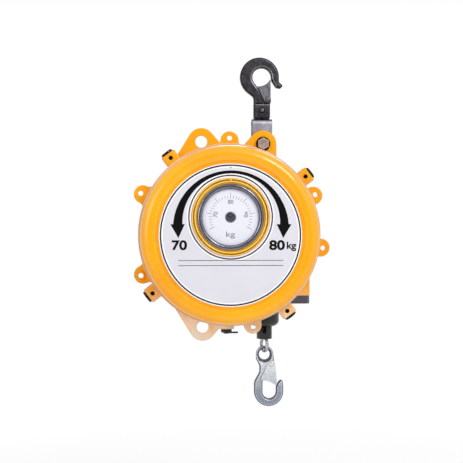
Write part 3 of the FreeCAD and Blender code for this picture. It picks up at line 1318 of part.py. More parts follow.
def spring_outer_pin():
    return outer_pin_rod()


def anchor_rod():
    """The room that the screw holding the rope's end takes in the drum's front flange."""
    edge = DRUM_FRONT + DRUM_FLANGE
    radius = groove_radius(edge) + ROPE_DIAMETER - 1.0
    return rod_y(3.0, DRUM_FRONT - 3.0, edge, radius, ARBOR_RISE)


def rope_anchor_screw():
    radius = groove_radius(DRUM_FRONT + DRUM_FLANGE) + ROPE_DIAMETER - 1.0
    return anchor_rod().fuse(hex_y(SMALL_SCREW_HEAD, DRUM_FRONT - 3.0, DRUM_FRONT, radius, ARBOR_RISE))


def arbor_circlip():
    """The ring that keeps the drum's front bearing in its place on the arbor."""
    return ring_y(ARBOR_RADIUS - 1.0, ARBOR_RADIUS + 3.0, DRUM_FRONT - 1.8, DRUM_FRONT - 0.2, 0, ARBOR_RISE)


NODES = {
    "main_housing": main_housing,
    "front_cover": front_cover,
    "label_plate": label_plate,
    "dial_bezel": dial_bezel,
    "dial_plate": dial_plate,
    "dial_screw": dial_screw,
    "dial_gear": dial_gear,
    "counter_gear": counter_gear,
    "counter_pin": counter_pin,
    "dial_pinion": dial_pinion,
    "arbor_shaft": arbor_shaft,
    "arbor_bushes": arbor_bushes,
    "wheel_key": wheel_key,
    "worm_wheel": worm_wheel,
    "worm_shaft": worm_shaft,
    "worm_bushes": worm_bushes,
    "worm_end_plate": worm_end_plate,
    "rope_drum": rope_drum,
    "case_lid": case_lid,
    "drum_bearings": drum_bearings,
    "main_spring": main_spring,
    "rope_on_drum": rope_on_drum,
    "clamp_bolts": clamp_bolts,
    "set_screws": set_screws,
    "suspension_bolt": suspension_bolt,
    "suspension_nut": suspension_nut,
    "suspension_washers": suspension_washers,
    "pivot_bush": pivot_bush,
    "yoke": yoke,
    "swivel_washer": swivel_washer,
    "swivel_stud": swivel_stud,
    "swivel_pin": swivel_pin,
    "top_hook": top_hook,
    "top_latch": top_latch,
    "top_latch_rivet": top_latch_rivet,
    "top_latch_spring": top_latch_spring,
    "rope_guide": rope_guide,
    "stop_sleeve": stop_sleeve,
    "rope_ferrule": rope_ferrule,
    "rope_run": rope_run,
    "rope_eye": rope_eye,
    "load_hook": load_hook,
    "load_latch": load_latch,
    "load_latch_rivet": load_latch_rivet,
    "load_latch_spring": load_latch_spring,
    "lock_plunger": lock_plunger,
    "lock_knob": lock_knob,
    "lock_spring": lock_spring,
    "rear_cap": rear_cap,
    "rear_cap_screws": rear_cap_screws,
    "lid_screws": lid_screws,
    "end_plate_screws": end_plate_screws,
    "spring_inner_pin": spring_inner_pin,
    "spring_outer_pin": spring_outer_pin,
    "rope_anchor_screw": rope_anchor_screw,
    "arbor_circlip": arbor_circlip,
}

ORIGIN = Vector(-SUSPENSION_X, -HOOK_DEPTH, -(HOOK_CENTRE_Z + HOOK_OPENING))

os.makedirs("parts", exist_ok=True)
for name, make in NODES.items():
    shape = make().translated(ORIGIN)
    shape.exportStep("parts/" + name + ".step")
    print(name, len(shape.Solids), round(shape.Volume / 1000, 2), "cm3", shape.isValid())
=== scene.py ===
"""The looks of a spring balancer for hand tools, built round its packed solids.

Pieces are shaped in millimetres: x to the right, y the depth behind the label, z up, counted from
the cover's centre on the label's plane. When a piece is finished it is moved into the frame's
metres, where the origin is the seat of the top hook.
"""

import logging
import math
from collections.abc import Iterable, Sequence
from dataclasses import dataclass, field
from enum import Enum

import bmesh
import bpy
from mathutils import Euler, Matrix, Vector


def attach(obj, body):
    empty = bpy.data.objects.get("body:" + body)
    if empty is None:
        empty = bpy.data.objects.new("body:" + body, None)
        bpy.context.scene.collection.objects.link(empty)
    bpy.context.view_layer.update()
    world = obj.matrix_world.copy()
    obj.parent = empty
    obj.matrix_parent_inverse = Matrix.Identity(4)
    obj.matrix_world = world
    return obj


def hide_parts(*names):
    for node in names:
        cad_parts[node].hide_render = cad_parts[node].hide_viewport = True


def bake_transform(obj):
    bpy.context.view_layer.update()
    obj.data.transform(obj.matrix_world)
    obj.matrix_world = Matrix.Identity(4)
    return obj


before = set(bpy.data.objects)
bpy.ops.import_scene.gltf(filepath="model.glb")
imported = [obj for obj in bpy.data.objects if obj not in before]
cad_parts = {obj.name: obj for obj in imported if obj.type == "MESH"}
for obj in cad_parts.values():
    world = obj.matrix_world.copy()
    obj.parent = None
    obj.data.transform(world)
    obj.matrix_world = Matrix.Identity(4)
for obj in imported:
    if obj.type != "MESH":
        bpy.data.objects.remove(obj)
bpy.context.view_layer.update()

LOG = logging.getLogger("balancer")

MILLIMETRE = 0.001
COVER_CENTRE = Vector((-58.5, -106.0, -280.8))
ARBOR_AXIS = Vector((0.0, 0.0, 29.0))
COVER_AXIS = Vector((0.0, 0.0, 0.0))
HOOK_DEPTH = 106.0
# The top hook's bowl, which the hook's painted bevel highlight faces.
HOOK_BOWL = tuple((COVER_CENTRE + Vector((58.5, HOOK_DEPTH, 264.8))) * MILLIMETRE)
ROPE_AXIS = Vector((63.3, HOOK_DEPTH, 0.0))
BOSS_ANGLES = (127.3, 37.3, -52.7, -142.7)
FULL_TURN = 2 * math.pi

SHARP_ANGLE = 28.0
MERGE_REACH = 0.0005
FIGURE_SHARE = 0.73
BEVEL_RAYS = 6
# Facing ranges that get the painted bevel highlight and the painted side shade, and the turn that keeps
# the painted highlight to bevels facing a centre.
PAINTED_BEVEL_LIGHT_FACING = (0.9, 0.985)
PAINTED_SIDE_SHADE_FACING = (0.7, 0.82)
PAINTED_LIGHT_TURN_RANGE = (-0.004, 0.002)

Corner = tuple[float, float, float]
Colour = tuple[float, float, float]
Triple = tuple[float, float, float]
Station = tuple[Vector, Vector, Vector, float]


class Axis(Enum):
    """The lines that a profile can be turned about."""

    DEPTH = "depth"
    UPRIGHT = "upright"

    def direction(self) -> Vector:
        """The axis as a unit vector."""
        return Vector((0, 1, 0)) if self is Axis.DEPTH else Vector((0, 0, 1))

    def point(self, centre: Vector, radius: float, along: float) -> Vector:
        """The point at a radius to the right of the axis, and so far along it from the centre."""
        return centre + Vector((radius, 0, 0)) + self.direction() * along

    def measure(self, centre: Vector, point: Vector) -> tuple[float, float]:
        """Gives a point's distance from the axis and along it.

        Args:
            centre: A point on the axis.
            point: The point to measure.

        Returns:
            The radius and the distance along the axis.
        """
        way = self.direction()
        along = (point - centre).dot(way)
        return (point - centre - way * along).length, along


def srgb(red: int, green: int, blue: int) -> Colour:
    """Turns a colour as seen on a screen into the linear values that shaders take.

    Args:
        red: The red part, 0 to 255.
        green: The green part, 0 to 255.
        blue: The blue part, 0 to 255.

    Returns:
        The three linear values.
    """
    shares = [part / 255 for part in (red, green, blue)]
    linear = [s / 12.92 if s <= 0.04045 else ((s + 0.055) / 1.055) ** 2.4 for s in shares]
    return linear[0], linear[1], linear[2]


class Graph:
    """The node tree of one material, with short ways to add what the finishes need."""

    def __init__(self, name: str) -> None:
        """Starts a material.

        Args:
            name: The material's name.
        """
        self.material = bpy.data.materials.new(name)
        self.material.use_nodes = True
        self.tree = self.material.node_tree
        self.shader = self.tree.nodes["Principled BSDF"]
        self.place = self.add("ShaderNodeTexCoord").outputs["Object"]

    def add(self, kind: str) -> bpy.types.Node:
        """Adds a node of that kind."""
        return self.tree.nodes.new(kind)

    def feed(self, target: bpy.types.NodeSocket, value: object) -> None:
        """Gives a socket a value, or links another socket to it.

        Args:
            target: The input to feed.
            value: A number, a vector or the output of another node.
        """
        if isinstance(value, bpy.types.NodeSocket):
            self.tree.links.new(value, target)
        else:
            target.default_value = value

    def grain(self, scale: float, detail: float = 4.0,
              stretch: Sequence[float] = (1, 1, 1)) -> bpy.types.NodeSocket:
        """Adds a noise pattern on the piece's own coordinates.

        Args:
            scale: How many features there are in a metre.
            detail: How many finer layers it has.
            stretch: Factors of the scale along x, y and z.

        Returns:
            The noise's value, about 0.5 in the middle.
        """
        mapping = self.add("ShaderNodeMapping")
        mapping.inputs["Scale"].default_value = stretch
        self.feed(mapping.inputs["Vector"], self.place)
        noise = self.add("ShaderNodeTexNoise")
        noise.inputs["Scale"].default_value = scale
        noise.inputs["Detail"].default_value = detail
        self.feed(noise.inputs["Vector"], mapping.outputs["Vector"])
        return noise.outputs["Fac"]

    def spread(self, source: bpy.types.NodeSocket, low: float, high: float, floor: float = 0.35,
               ceiling: float = 0.65) -> bpy.types.NodeSocket:
        """Maps a pattern to a range of values.

        Args:
            source: The pattern.
            low: The value where the pattern is at its floor.
            high: The value where the pattern is at its ceiling.
            floor: The lowest value of the pattern that counts.
            ceiling: The highest value of the pattern that counts.

        Returns:
            The mapped value.
        """
        node = self.add("ShaderNodeMapRange")
        self.feed(node.inputs["Value"], source)
        for name, value in (("From Min", floor), ("From Max", ceiling), ("To Min", low), ("To Max", high)):
            node.inputs[name].default_value = value
        return node.outputs["Result"]

    def combined(self, first: object, second: object, kind: str = "ADD") -> bpy.types.NodeSocket:
        """Combines two values by a math node.

        Args:
            first: A number or a socket.
            second: A number or a socket.
            kind: The node's operation.

        Returns:
            The result.
        """
        node = self.add("ShaderNodeMath")
        node.operation = kind
        self.feed(node.inputs[0], first)
        self.feed(node.inputs[1], second)
        return node.outputs["Value"]

    def arrows(self, kind: str, first: object, second: object = (0, 0, 0)) -> bpy.types.Node:
        """Joins two vectors by a vector math node.

        Args:
            kind: The node's operation.
            first: A vector or a socket.
            second: A vector or a socket.

        Returns:
            The node.
        """
        node = self.add("ShaderNodeVectorMath")
        node.operation = kind
        self.feed(node.inputs[0], first)
        self.feed(node.inputs[1], second)
        return node

    def mixed(self, share: object, first: object, second: object) -> bpy.types.NodeSocket:
        """Mixes two colours.

        Args:
            share: How much of the second colour there is.
            first: A linear colour, or a colour socket.
            second: A linear colour, or a colour socket.

        Returns:
            The mixed colour.
        """
        node = self.add("ShaderNodeMix")
        node.data_type = "RGBA"
        self.feed(node.inputs["Factor"], share)
        for socket, colour in (("A", first), ("B", second)):
            value = colour if isinstance(colour, bpy.types.NodeSocket) else (*colour, 1.0)
            target = next(i for i in node.inputs if i.name == socket and i.type == "RGBA")
            self.feed(target, value)
        return next(o for o in node.outputs if o.type == "RGBA")

    def height(self) -> bpy.types.NodeSocket:
        """Reads how high the spot is.

        Returns:
            Its height in metres.
        """
        split = self.add("ShaderNodeSeparateXYZ")
        self.feed(split.inputs[0], self.place)
        return split.outputs["Z"]

    def bevelled(self, reach: float) -> bpy.types.NodeSocket:
        """Blurs the surface's direction at sharp edges.

        Args:
            reach: How far the blur reaches from the edge, in metres.

        Returns:
            The direction, in the world's coordinates.
        """
        edge = self.add("ShaderNodeBevel")
        edge.samples = BEVEL_RAYS
        edge.inputs["Radius"].default_value = reach
        return edge.outputs["Normal"]

    def own_normal(self, soft: float) -> bpy.types.NodeSocket:
        """The surface's direction in the piece's own coordinates.

        Args:
            soft: The reach over which sharp edges count as bevels, in metres, or 0.

        Returns:
            The direction.
        """
        if soft == 0:
            return self.add("ShaderNodeTexCoord").outputs["Normal"]
        own = self.add("ShaderNodeVectorTransform")
        own.vector_type = "NORMAL"
        own.convert_from = "WORLD"
        own.convert_to = "OBJECT"
        self.feed(own.inputs[0], self.bevelled(soft))
        return own.outputs[0]

    def worn(self, colour: bpy.types.NodeSocket, soft: float, edges: Colour | None,
             sides: Colour | None, centre: Triple | None = None) -> bpy.types.NodeSocket:
        """Gives the bevels round front and back faces, and the sides behind them, their own colours.

        Args:
            colour: The colour of the flat faces.
            soft: The reach over which sharp edges count as bevels, in metres, or 0.
            edges: The colour of the bevels, or None.
            sides: The colour of the sides, or None.
            centre: The point that the bevels in their own colour are turned to, or None.

        Returns:
            The mixed colour.
        """
        normal = self.own_normal(soft)
        split = self.add("ShaderNodeSeparateXYZ")
        self.feed(split.inputs[0], normal)
        facing = self.combined(split.outputs["Y"], 0.0, "ABSOLUTE")
        if edges is not None:
            # Painted highlight on the bevels, kept to those turned to the centre when one is given.
            bevel = self.spread(facing, 1.0, 0.0, *PAINTED_BEVEL_LIGHT_FACING)
            if centre is not None:
                bevel = self.combined(bevel, self.turned_to(centre, normal), "MULTIPLY")
            colour = self.mixed(bevel, colour, edges)
        if sides is not None:
            # Painted shade on the sides.
            colour = self.mixed(self.spread(facing, 1.0, 0.0, *PAINTED_SIDE_SHADE_FACING), colour, sides)
        return colour

    def away_from(self, point: Sequence[float]) -> bpy.types.NodeSocket:
        """The way to the spot from a line that runs along the depth through a point."""
        shift = self.arrows("SUBTRACT", self.place, point)
        return self.arrows("MULTIPLY", shift.outputs["Vector"], (1, 0, 1)).outputs["Vector"]

    def turned_to(self, centre: Triple, normal: bpy.types.NodeSocket) -> bpy.types.NodeSocket:
        """One where the surface is turned to a line along the depth through a point, else zero."""
        product = self.arrows("DOT_PRODUCT", self.away_from(centre), normal)
        return self.spread(product.outputs["Value"], 1.0, 0.0, *PAINTED_LIGHT_TURN_RANGE)

    def distance_from_arbor(self) -> bpy.types.NodeSocket:
        """The distance from the dial's axis across the picture plane, in metres."""
        centre = (COVER_CENTRE + ARBOR_AXIS) * MILLIMETRE
        return self.arrows("LENGTH", self.away_from(centre)).outputs["Value"]

    def relief(self, height: bpy.types.NodeSocket, depth: float, soft: float = 0.0) -> None:
        """Raises the surface by a pattern.

        Args:
            height: The pattern.
            depth: How far it rises, in metres.
            soft: The reach over which sharp edges look rounded, in metres, or 0.
        """
        bump = self.add("ShaderNodeBump")
        if soft > 0:
            self.feed(bump.inputs["Normal"], self.bevelled(soft))
        bump.inputs["Distance"].default_value = depth
        bump.inputs["Strength"].default_value = 1.0
        self.feed(bump.inputs["Height"], height)
        self.feed(self.shader.inputs["Normal"], bump.outputs["Normal"])


@dataclass(frozen=True)
class Enamel:
    """Gloss paint over a casting, a little deeper in colour in slow clouds."""

    name: str = "gloss_enamel"
    colour: Colour = srgb(255, 180, 12)
    deep: Colour = srgb(252, 166, 4)
    coat: float = 0.5
    casting: float = 0.00022
    # Painted light: a pale colour blended in towards the bottom, standing in for the bright light on the
    # lower lugs.
    faded: Colour = srgb(255, 236, 212)
    fading: float = 0.0
    fade_heights: tuple[float, float] = (-0.43, -0.365)
    soft: float = 0.0
    # edges: painted highlight on the bevels; sides: painted shade on the sides.
    edges: Colour | None = None
    sides: Colour | None = None

    def make(self) -> bpy.types.Material:
        """Builds the material, its paint thinner towards the bottom where it fades.

        Returns:
            The material.
        """
        graph = Graph(self.name)
        clouds = graph.spread(graph.grain(9.0, 3.0), 0.0, 1.0)
        paint = graph.mixed(clouds, self.colour, self.deep)
        # Painted light, paler towards the bottom.
        if self.fading > 0:
            low = graph.spread(graph.height(), self.fading, 0.0, *self.fade_heights)
            painted_low_light_mask = graph.combined(low, graph.spread(graph.grain(28.0), 0.45, 1.0), "MULTIPLY")
            paint = graph.mixed(painted_low_light_mask, paint, self.faded)
        # Painted highlight on the bevels and painted shade on the sides.
        if self.edges is not None or self.sides is not None:
            paint = graph.worn(paint, self.soft, self.edges, self.sides)
        graph.feed(graph.shader.inputs["Base Color"], paint)
        graph.feed(graph.shader.inputs["Roughness"], graph.spread(graph.grain(60.0), 0.26, 0.4))
        graph.shader.inputs["Specular IOR Level"].default_value = 0.3
        graph.shader.inputs["Coat Weight"].default_value = self.coat
        graph.shader.inputs["Coat Roughness"].default_value = 0.1
        fine = graph.combined(graph.grain(420.0, 2.0), 0.45, "MULTIPLY")
        peel = graph.combined(graph.grain(55.0, 2.0), fine)
        graph.relief(peel, self.casting, self.soft)
        return graph.material


@dataclass(frozen=True)
class Metal:
    """Bare or plated metal with mottled colour and gloss, and brushing where it is stretched."""

    name: str
    light: Colour
    dark: Colour
    smooth: float = 0.28
    rough: float = 0.45
    mottle: float = 90.0
    relief: float = 0.00006
    metallic: float = 1.0
    brushing: Triple = (1.0, 1.0, 1.0)
    soft: float = 0.0
    # Painted shade: the heights between which the metal darkens towards the bottom, standing in for
    # reflection.
    darkening: tuple[float, float] | None = None
    # edges: painted highlight on the bevels, painted shade where darker than the faces; sides: painted
    # shade on the sides; centre: the point the painted bevel highlight faces.
    edges: Colour | None = None
    sides: Colour | None = None
    centre: Triple | None = None

    def make(self) -> bpy.types.Material:
        """Builds the material, darker from one height to a lower one where it darkens.

        Returns:
            The material.
        """
        graph = Graph(self.name)
        patches = graph.spread(graph.grain(self.mottle, 5.0), 0.0, 1.0)
        # Painted shade, darker towards the bottom.
        if self.darkening is not None:
            high, low = self.darkening
            painted_shade_fall = graph.spread(graph.height(), 1.0, 0.0, low, high)
            patches = graph.combined(painted_shade_fall, graph.combined(patches, 0.35, "MULTIPLY"))
        colour = graph.mixed(patches, self.light, self.dark)
        # Painted highlight on the bevels and painted shade on the sides.
        if self.edges is not None or self.sides is not None:
            colour = graph.worn(colour, self.soft, self.edges, self.sides, self.centre)
        graph.feed(graph.shader.inputs["Base Color"], colour)
        fine = graph.grain(self.mottle * 6, 4.0, self.brushing)
        graph.feed(graph.shader.inputs["Roughness"], graph.spread(fine, self.smooth, self.rough))
        graph.shader.inputs["Metallic"].default_value = self.metallic
        graph.relief(graph.combined(fine, graph.grain(self.mottle * 1.5, 3.0)), self.relief, self.soft)
        return graph.material


@dataclass(frozen=True)
class Moulding:
    """Moulded plastic or rubber with a fine grain."""

    name: str
    colour: Colour
    smooth: float = 0.3
    rough: float = 0.45
    grain: float = 900.0
    relief: float = 0.00003

    def make(self) -> bpy.types.Material:
        """Builds the material.

        Returns:
            The material.
        """
        graph = Graph(self.name)
        lighter = tuple(min(1.0, part * 1.5 + 0.004) for part in self.colour)
        clouds = graph.spread(graph.grain(40.0), 0.0, 1.0)
        graph.feed(graph.shader.inputs["Base Color"], graph.mixed(clouds, self.colour, lighter))
        fine = graph.grain(self.grain, 2.0)
        graph.feed(graph.shader.inputs["Roughness"], graph.spread(fine, self.smooth, self.rough))
        graph.relief(fine, self.relief)
        return graph.material


@dataclass(frozen=True)
class Film:
    """Printed film, its gloss broken by faint waves."""

    name: str
    colour: Colour
    shade: float = 0.975
    smooth: float = 0.34
    rough: float = 0.46
    shine: float = 0.2

    def make(self) -> bpy.types.Material:
        """Builds the material.

        Returns:
            The material.
        """
        graph = Graph(self.name)
        darker = tuple(part * self.shade for part in self.colour)
        clouds = graph.spread(graph.grain(22.0, 3.0), 0.0, 1.0)
        graph.feed(graph.shader.inputs["Base Color"], graph.mixed(clouds, self.colour, darker))
        waves = graph.spread(graph.grain(300.0), self.smooth, self.rough)
        graph.feed(graph.shader.inputs["Roughness"], waves)
        graph.shader.inputs["Specular IOR Level"].default_value = self.shine
        graph.relief(graph.grain(35.0, 1.0), 0.00005)
        return graph.material


@dataclass(frozen=True)
class DialFace:
    """The dial's pale face, shaded towards its rim."""

    name: str = "dial_enamel"
    colour: Colour = srgb(234, 235, 244)
    rim: Colour = srgb(224, 226, 238)
    radius: float = 0.045

    def make(self) -> bpy.types.Material:
        """Builds the material.

        Returns:
            The material.
        """
        graph = Graph(self.name)
        # Painted shade towards the rim.
        painted_rim_shade = graph.spread(graph.distance_from_arbor(), 0.0, 1.0, self.radius * 0.85, self.radius)
        clouds = graph.combined(painted_rim_shade, graph.combined(graph.grain(30.0), 0.25, "MULTIPLY"))
        graph.feed(graph.shader.inputs["Base Color"], graph.mixed(clouds, self.colour, self.rim))
        graph.feed(graph.shader.inputs["Roughness"], graph.spread(graph.grain(250.0), 0.3, 0.42))
        graph.relief(graph.grain(700.0, 2.0), 0.00002)
        return graph.material


class Finishes:
    """Every finish of the object, made once, by name."""

    def __init__(self) -> None:
        """Makes the materials."""
        kinds = [
            Enamel(),
            # Painted light on the casting, paler towards the bottom.
            Enamel("casting_enamel", fading=1.0, soft=0.003),
            # The ring's paint is a lighter copy of the cover's enamel, painted light on its ridges, with
            # painted highlights on the bevels and painted shade on the sides.
            Enamel("lit_ring_enamel", srgb(255, 214, 52), srgb(255, 196, 30), edges=srgb(255, 236, 130),
                   sides=srgb(206, 112, 12)),
            Enamel("bare_lip", srgb(226, 198, 172), srgb(206, 168, 134), coat=0.2, casting=0.00012),
            Film("white_film", srgb(250, 250, 252)),
            Film("lavender_film", srgb(222, 221, 229)),
            Film("line_ink", srgb(34, 42, 58)),
            Film("black_ink", srgb(16, 15, 17), shine=0.1),
            Film("pale_ink", srgb(140, 140, 152)),
            DialFace(),
            Metal("bezel_steel", srgb(138, 136, 148), srgb(112, 110, 122), smooth=0.18, rough=0.28,
                  mottle=60.0, relief=0.00002, metallic=0.85),
            # Painted highlight on the hook's bevels that face its bowl, and painted shade on its sides.
            Metal("forged_black", srgb(88, 86, 92), srgb(64, 62, 67), smooth=0.34, rough=0.5,
                  mottle=110.0, relief=0.00006, metallic=0.95, soft=0.0034, edges=srgb(170, 168, 174),
                  sides=srgb(14, 13, 15), centre=HOOK_BOWL),
            # Painted shade darker towards the bottom, painted highlight on the bevels and painted shade on
            # the sides.
            Metal("zinc_plate", srgb(242, 246, 252), srgb(146, 154, 172), smooth=0.26, rough=0.44,
                  mottle=420.0, relief=0.0001, metallic=0.4, soft=0.0018, darkening=(-0.50, -0.56),
                  edges=srgb(246, 248, 252), sides=srgb(70, 76, 92)),
            # Painted shade darker towards the bottom and painted shade on the sides.
            Metal("zinc_latch", srgb(250, 252, 255), srgb(190, 198, 212), smooth=0.22, rough=0.36,
                  mottle=420.0, relief=0.00008, metallic=0.4, soft=0.0012, darkening=(-0.50, -0.55),
                  sides=srgb(104, 110, 126)),
            # Painted shade on the sides.
            Metal("latch_plate", srgb(150, 150, 164), srgb(112, 112, 124), smooth=0.28, rough=0.42,
                  mottle=140.0, relief=0.00005, metallic=0.6, soft=0.0016, sides=srgb(34, 34, 40)),
            # Painted shade on the bevels, a dark ring round the pin and rivet heads.
            Metal("pin_steel", srgb(150, 148, 152), srgb(116, 114, 118), smooth=0.3, rough=0.44,
                  mottle=160.0, relief=0.00004, metallic=0.5, soft=0.0018, edges=srgb(14, 13, 16)),
            # Painted shade on the sides.
            Metal("yoke_plate", srgb(184, 184, 198), srgb(138, 138, 152), smooth=0.36, rough=0.5,
                  mottle=70.0, relief=0.00006, metallic=0.6, brushing=(6.0, 1.0, 1.0), soft=0.002,
                  sides=srgb(60, 58, 64)),
            Metal("machined_steel", srgb(196, 200, 208), srgb(150, 152, 160), smooth=0.22, rough=0.36,
                  mottle=120.0, relief=0.00004),
            # Painted shade on the sides.
            Metal("bolt_brown", srgb(208, 190, 182), srgb(164, 146, 138), smooth=0.34, rough=0.5,
                  mottle=130.0, relief=0.00006, metallic=0.6, soft=0.0012, sides=srgb(70, 56, 48)),
            Metal("black_oxide", srgb(30, 30, 36), srgb(14, 14, 18), smooth=0.16, rough=0.3,
                  mottle=160.0, relief=0.00004, metallic=0.6),
            Metal("dial_screw_steel", srgb(150, 150, 162), srgb(64, 64, 72), smooth=0.16, rough=0.3,
                  mottle=420.0, relief=0.00008, metallic=0.8),
            Moulding("black_moulding", srgb(12, 11, 11), smooth=0.2, rough=0.34),
            Moulding("gloss_rubber", srgb(4, 4, 6), smooth=0.06, rough=0.12, grain=500.0,
                     relief=0.000006),
            Metal("rope_steel", srgb(222, 224, 230), srgb(160, 160, 168), smooth=0.26, rough=0.42,
                  mottle=260.0, relief=0.00003),
            Metal("cast_aluminium_skin", srgb(186, 188, 192), srgb(150, 152, 158), smooth=0.4,
                  rough=0.6, mottle=80.0, relief=0.0002),
            Metal("blue_spring", srgb(96, 104, 122), srgb(60, 66, 84), smooth=0.24, rough=0.38,
                  mottle=60.0, relief=0.00003),
            Metal("bearing_bronze", srgb(190, 142, 84), srgb(150, 104, 58), smooth=0.26, rough=0.42,
                  mottle=100.0, relief=0.00005),
            Enamel("grey_enamel", srgb(92, 90, 100), srgb(72, 70, 80), coat=0.25, casting=0.0002),
        ]
        self.made = {kind.name: kind.make() for kind in kinds}

    def __getitem__(self, name: str) -> bpy.types.Material:
        """The material of that name."""
        return self.made[name]


class Form:
    """A piece while it is being shaped."""

    def __init__(self, node: str | None = None) -> None:
        """Starts empty, or from a merged copy of a packed node's shape.

        Args:
            node: The node to copy, or None.
        """
        self.mesh = bmesh.new()
        if node is not None:
            self.mesh.from_mesh(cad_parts[node].data)
            self.mesh.transform(Matrix.Translation(-COVER_CENTRE) @ Matrix.Scale(1 / MILLIMETRE, 4))
            self.merge()
            bmesh.ops.dissolve_limit(self.mesh, angle_limit=math.radians(0.5), verts=self.mesh.verts[:],
                                     edges=self.mesh.edges[:])

    def merge(self) -> None:
        """Joins points that lie at one place."""
        bmesh.ops.remove_doubles(self.mesh, verts=self.mesh.verts[:], dist=MERGE_REACH)

    def close(self) -> None:
        """Merges doubles and points every face outwards."""
        self.merge()
        bmesh.ops.recalc_face_normals(self.mesh, faces=self.mesh.faces[:])

    def turned(self, corners: Sequence[Corner], axis: Axis, centre: Vector, steps: int = 96,
               closed: bool = True, segments: int = 4) -> list[bmesh.types.BMFace]:
        """Spins a profile through a full turn and rounds its corners.

        Args:
            corners: The profile's corners: radius, distance along the axis and size of the rounding.
            axis: The line to turn about.
            centre: A point on that line, from which the corners are counted.
            steps: How many flats the turn has.
            closed: Whether the profile's last corner joins its first.
            segments: How many flats each rounding has.

        Returns:
            The faces of the turned shape.
        """
        old = set(self.mesh.faces)
        points = [self.mesh.verts.new(axis.point(centre, r, along)) for r, along, _ in corners]
        lines = [self.mesh.edges.new(pair) for pair in zip(points, points[1:])]
        if closed:
            lines.append(self.mesh.edges.new((points[-1], points[0])))
        bmesh.ops.spin(self.mesh, geom=points + lines, cent=centre, axis=axis.direction(), dvec=(0, 0, 0),
                       angle=FULL_TURN, steps=steps, use_merge=True)
        self.merge()
        for radius, along, size in corners:
            if size > 0:
                rings = self.ring_edges(axis, centre, radius, along)
                self.rounded(rings, size, segments)
        return [face for face in self.mesh.faces if face not in old]

    def ring_edges(self, axis: Axis, centre: Vector, radius: float,
                   along: float) -> list[bmesh.types.BMEdge]:
        """Finds the edges of a turned shape that run round the axis at one corner of its profile.

        Args:
            axis: The line that the shape was turned about.
            centre: The point on it that the corner is counted from.
            radius: The corner's radius.
            along: The corner's distance along the axis.

        Returns:
            The edges.
        """
        found = []
        for edge in self.mesh.edges:
            spots = [axis.measure(centre, vert.co) for vert in edge.verts]
            if all(abs(r - radius) < 0.01 and abs(a - along) < 0.01 for r, a in spots):
                found.append(edge)
        return found

    def rounded(self, edges: Iterable[bmesh.types.BMEdge], size: float, segments: int = 3,
                clamp: bool = False) -> None:
        """Rounds edges by a size with a number of flats, held back where there is no room if clamped."""
        bmesh.ops.bevel(self.mesh, geom=list(edges), offset=size, offset_type="OFFSET", segments=segments,
                        profile=0.5, affect="EDGES", clamp_overlap=clamp, material=-1)

    def sharp_edges(self) -> list[bmesh.types.BMEdge]:
        """The edges where two faces meet at a sharp angle."""
        limit = math.radians(SHARP_ANGLE)
        return [e for e in self.mesh.edges if len(e.link_faces) == 2 and e.calc_face_angle(0.0) > limit]

    def circle(self, radius: float, centre: Vector, depth: float,
               steps: int = 192) -> list[bmesh.types.BMEdge]:
        """Adds a circle that faces the viewer.

        Args:
            radius: The circle's radius.
            centre: The axis that it lies round.
            depth: Its depth behind the label's plane.
            steps: How many edges it has.

        Returns:
            Its edges.
        """
        place = Matrix.Translation(centre + Vector((0, depth, 0))) @ Matrix.Rotation(math.pi / 2, 4, "X")
        made = bmesh.ops.create_circle(self.mesh, cap_ends=False, segments=steps, radius=radius,
                                       matrix=place)
        ring = set(made["verts"])
        return [edge for edge in self.mesh.edges if ring.issuperset(edge.verts)]

    def fill_between(self, first: list[bmesh.types.BMEdge], second: list[bmesh.types.BMEdge],
                     coat: int = 0) -> None:
        """Fills the flat ring between two loops of edges.

        Args:
            first: One loop.
            second: The other loop.
            coat: The coat that the new faces get.
        """
        made = bmesh.ops.triangle_fill(self.mesh, use_beauty=True, use_dissolve=False,
                                       edges=first + second)
        for part in made["geom"]:
            if isinstance(part, bmesh.types.BMFace):
                part.material_index = coat

    def thicken(self, depth: float) -> None:
        """Gives flat faces a thickness towards the back.

        Args:
            depth: The thickness.
        """
        made = bmesh.ops.extrude_face_region(self.mesh, geom=self.mesh.faces[:])
        points = [part for part in made["geom"] if isinstance(part, bmesh.types.BMVert)]
        bmesh.ops.translate(self.mesh, verts=points, vec=(0, depth, 0))
        self.close()

    def block(self, low: Vector, high: Vector) -> list[bmesh.types.BMVert]:
        """Adds a box.

        Args:
            low: Its corner with the lowest coordinates.
            high: The corner across from it.

        Returns:
            Its points.
        """
        middle = (low + high) / 2
        scale = Matrix.Diagonal((*(high - low), 1.0))
        made = bmesh.ops.create_cube(self.mesh, size=1.0, matrix=Matrix.Translation(middle) @ scale)
        return made["verts"]

    def turn_about(self, axis: str, degrees: float, centre: Vector,
                   points: list[bmesh.types.BMVert] | None = None) -> None:
        """Turns points, or the whole piece, about a line.

        Args:
            axis: The letter of the direction that the line runs in.
            degrees: How far they are turned.
            centre: A point on the line.
            points: The points to turn, or None for all.
        """
        chosen = self.mesh.verts[:] if points is None else points
        bmesh.ops.rotate(self.mesh, cent=centre, matrix=Matrix.Rotation(math.radians(degrees), 3, axis),
                         verts=chosen)

    def add_mesh(self, mesh: bpy.types.Mesh, place: Matrix) -> None:
        """Adds a copy of a mesh, and removes the mesh.

        Args:
            mesh: The mesh to add.
            place: Where its copy goes.
        """
        mesh.transform(place)
        self.mesh.from_mesh(mesh)
        bpy.data.meshes.remove(mesh)

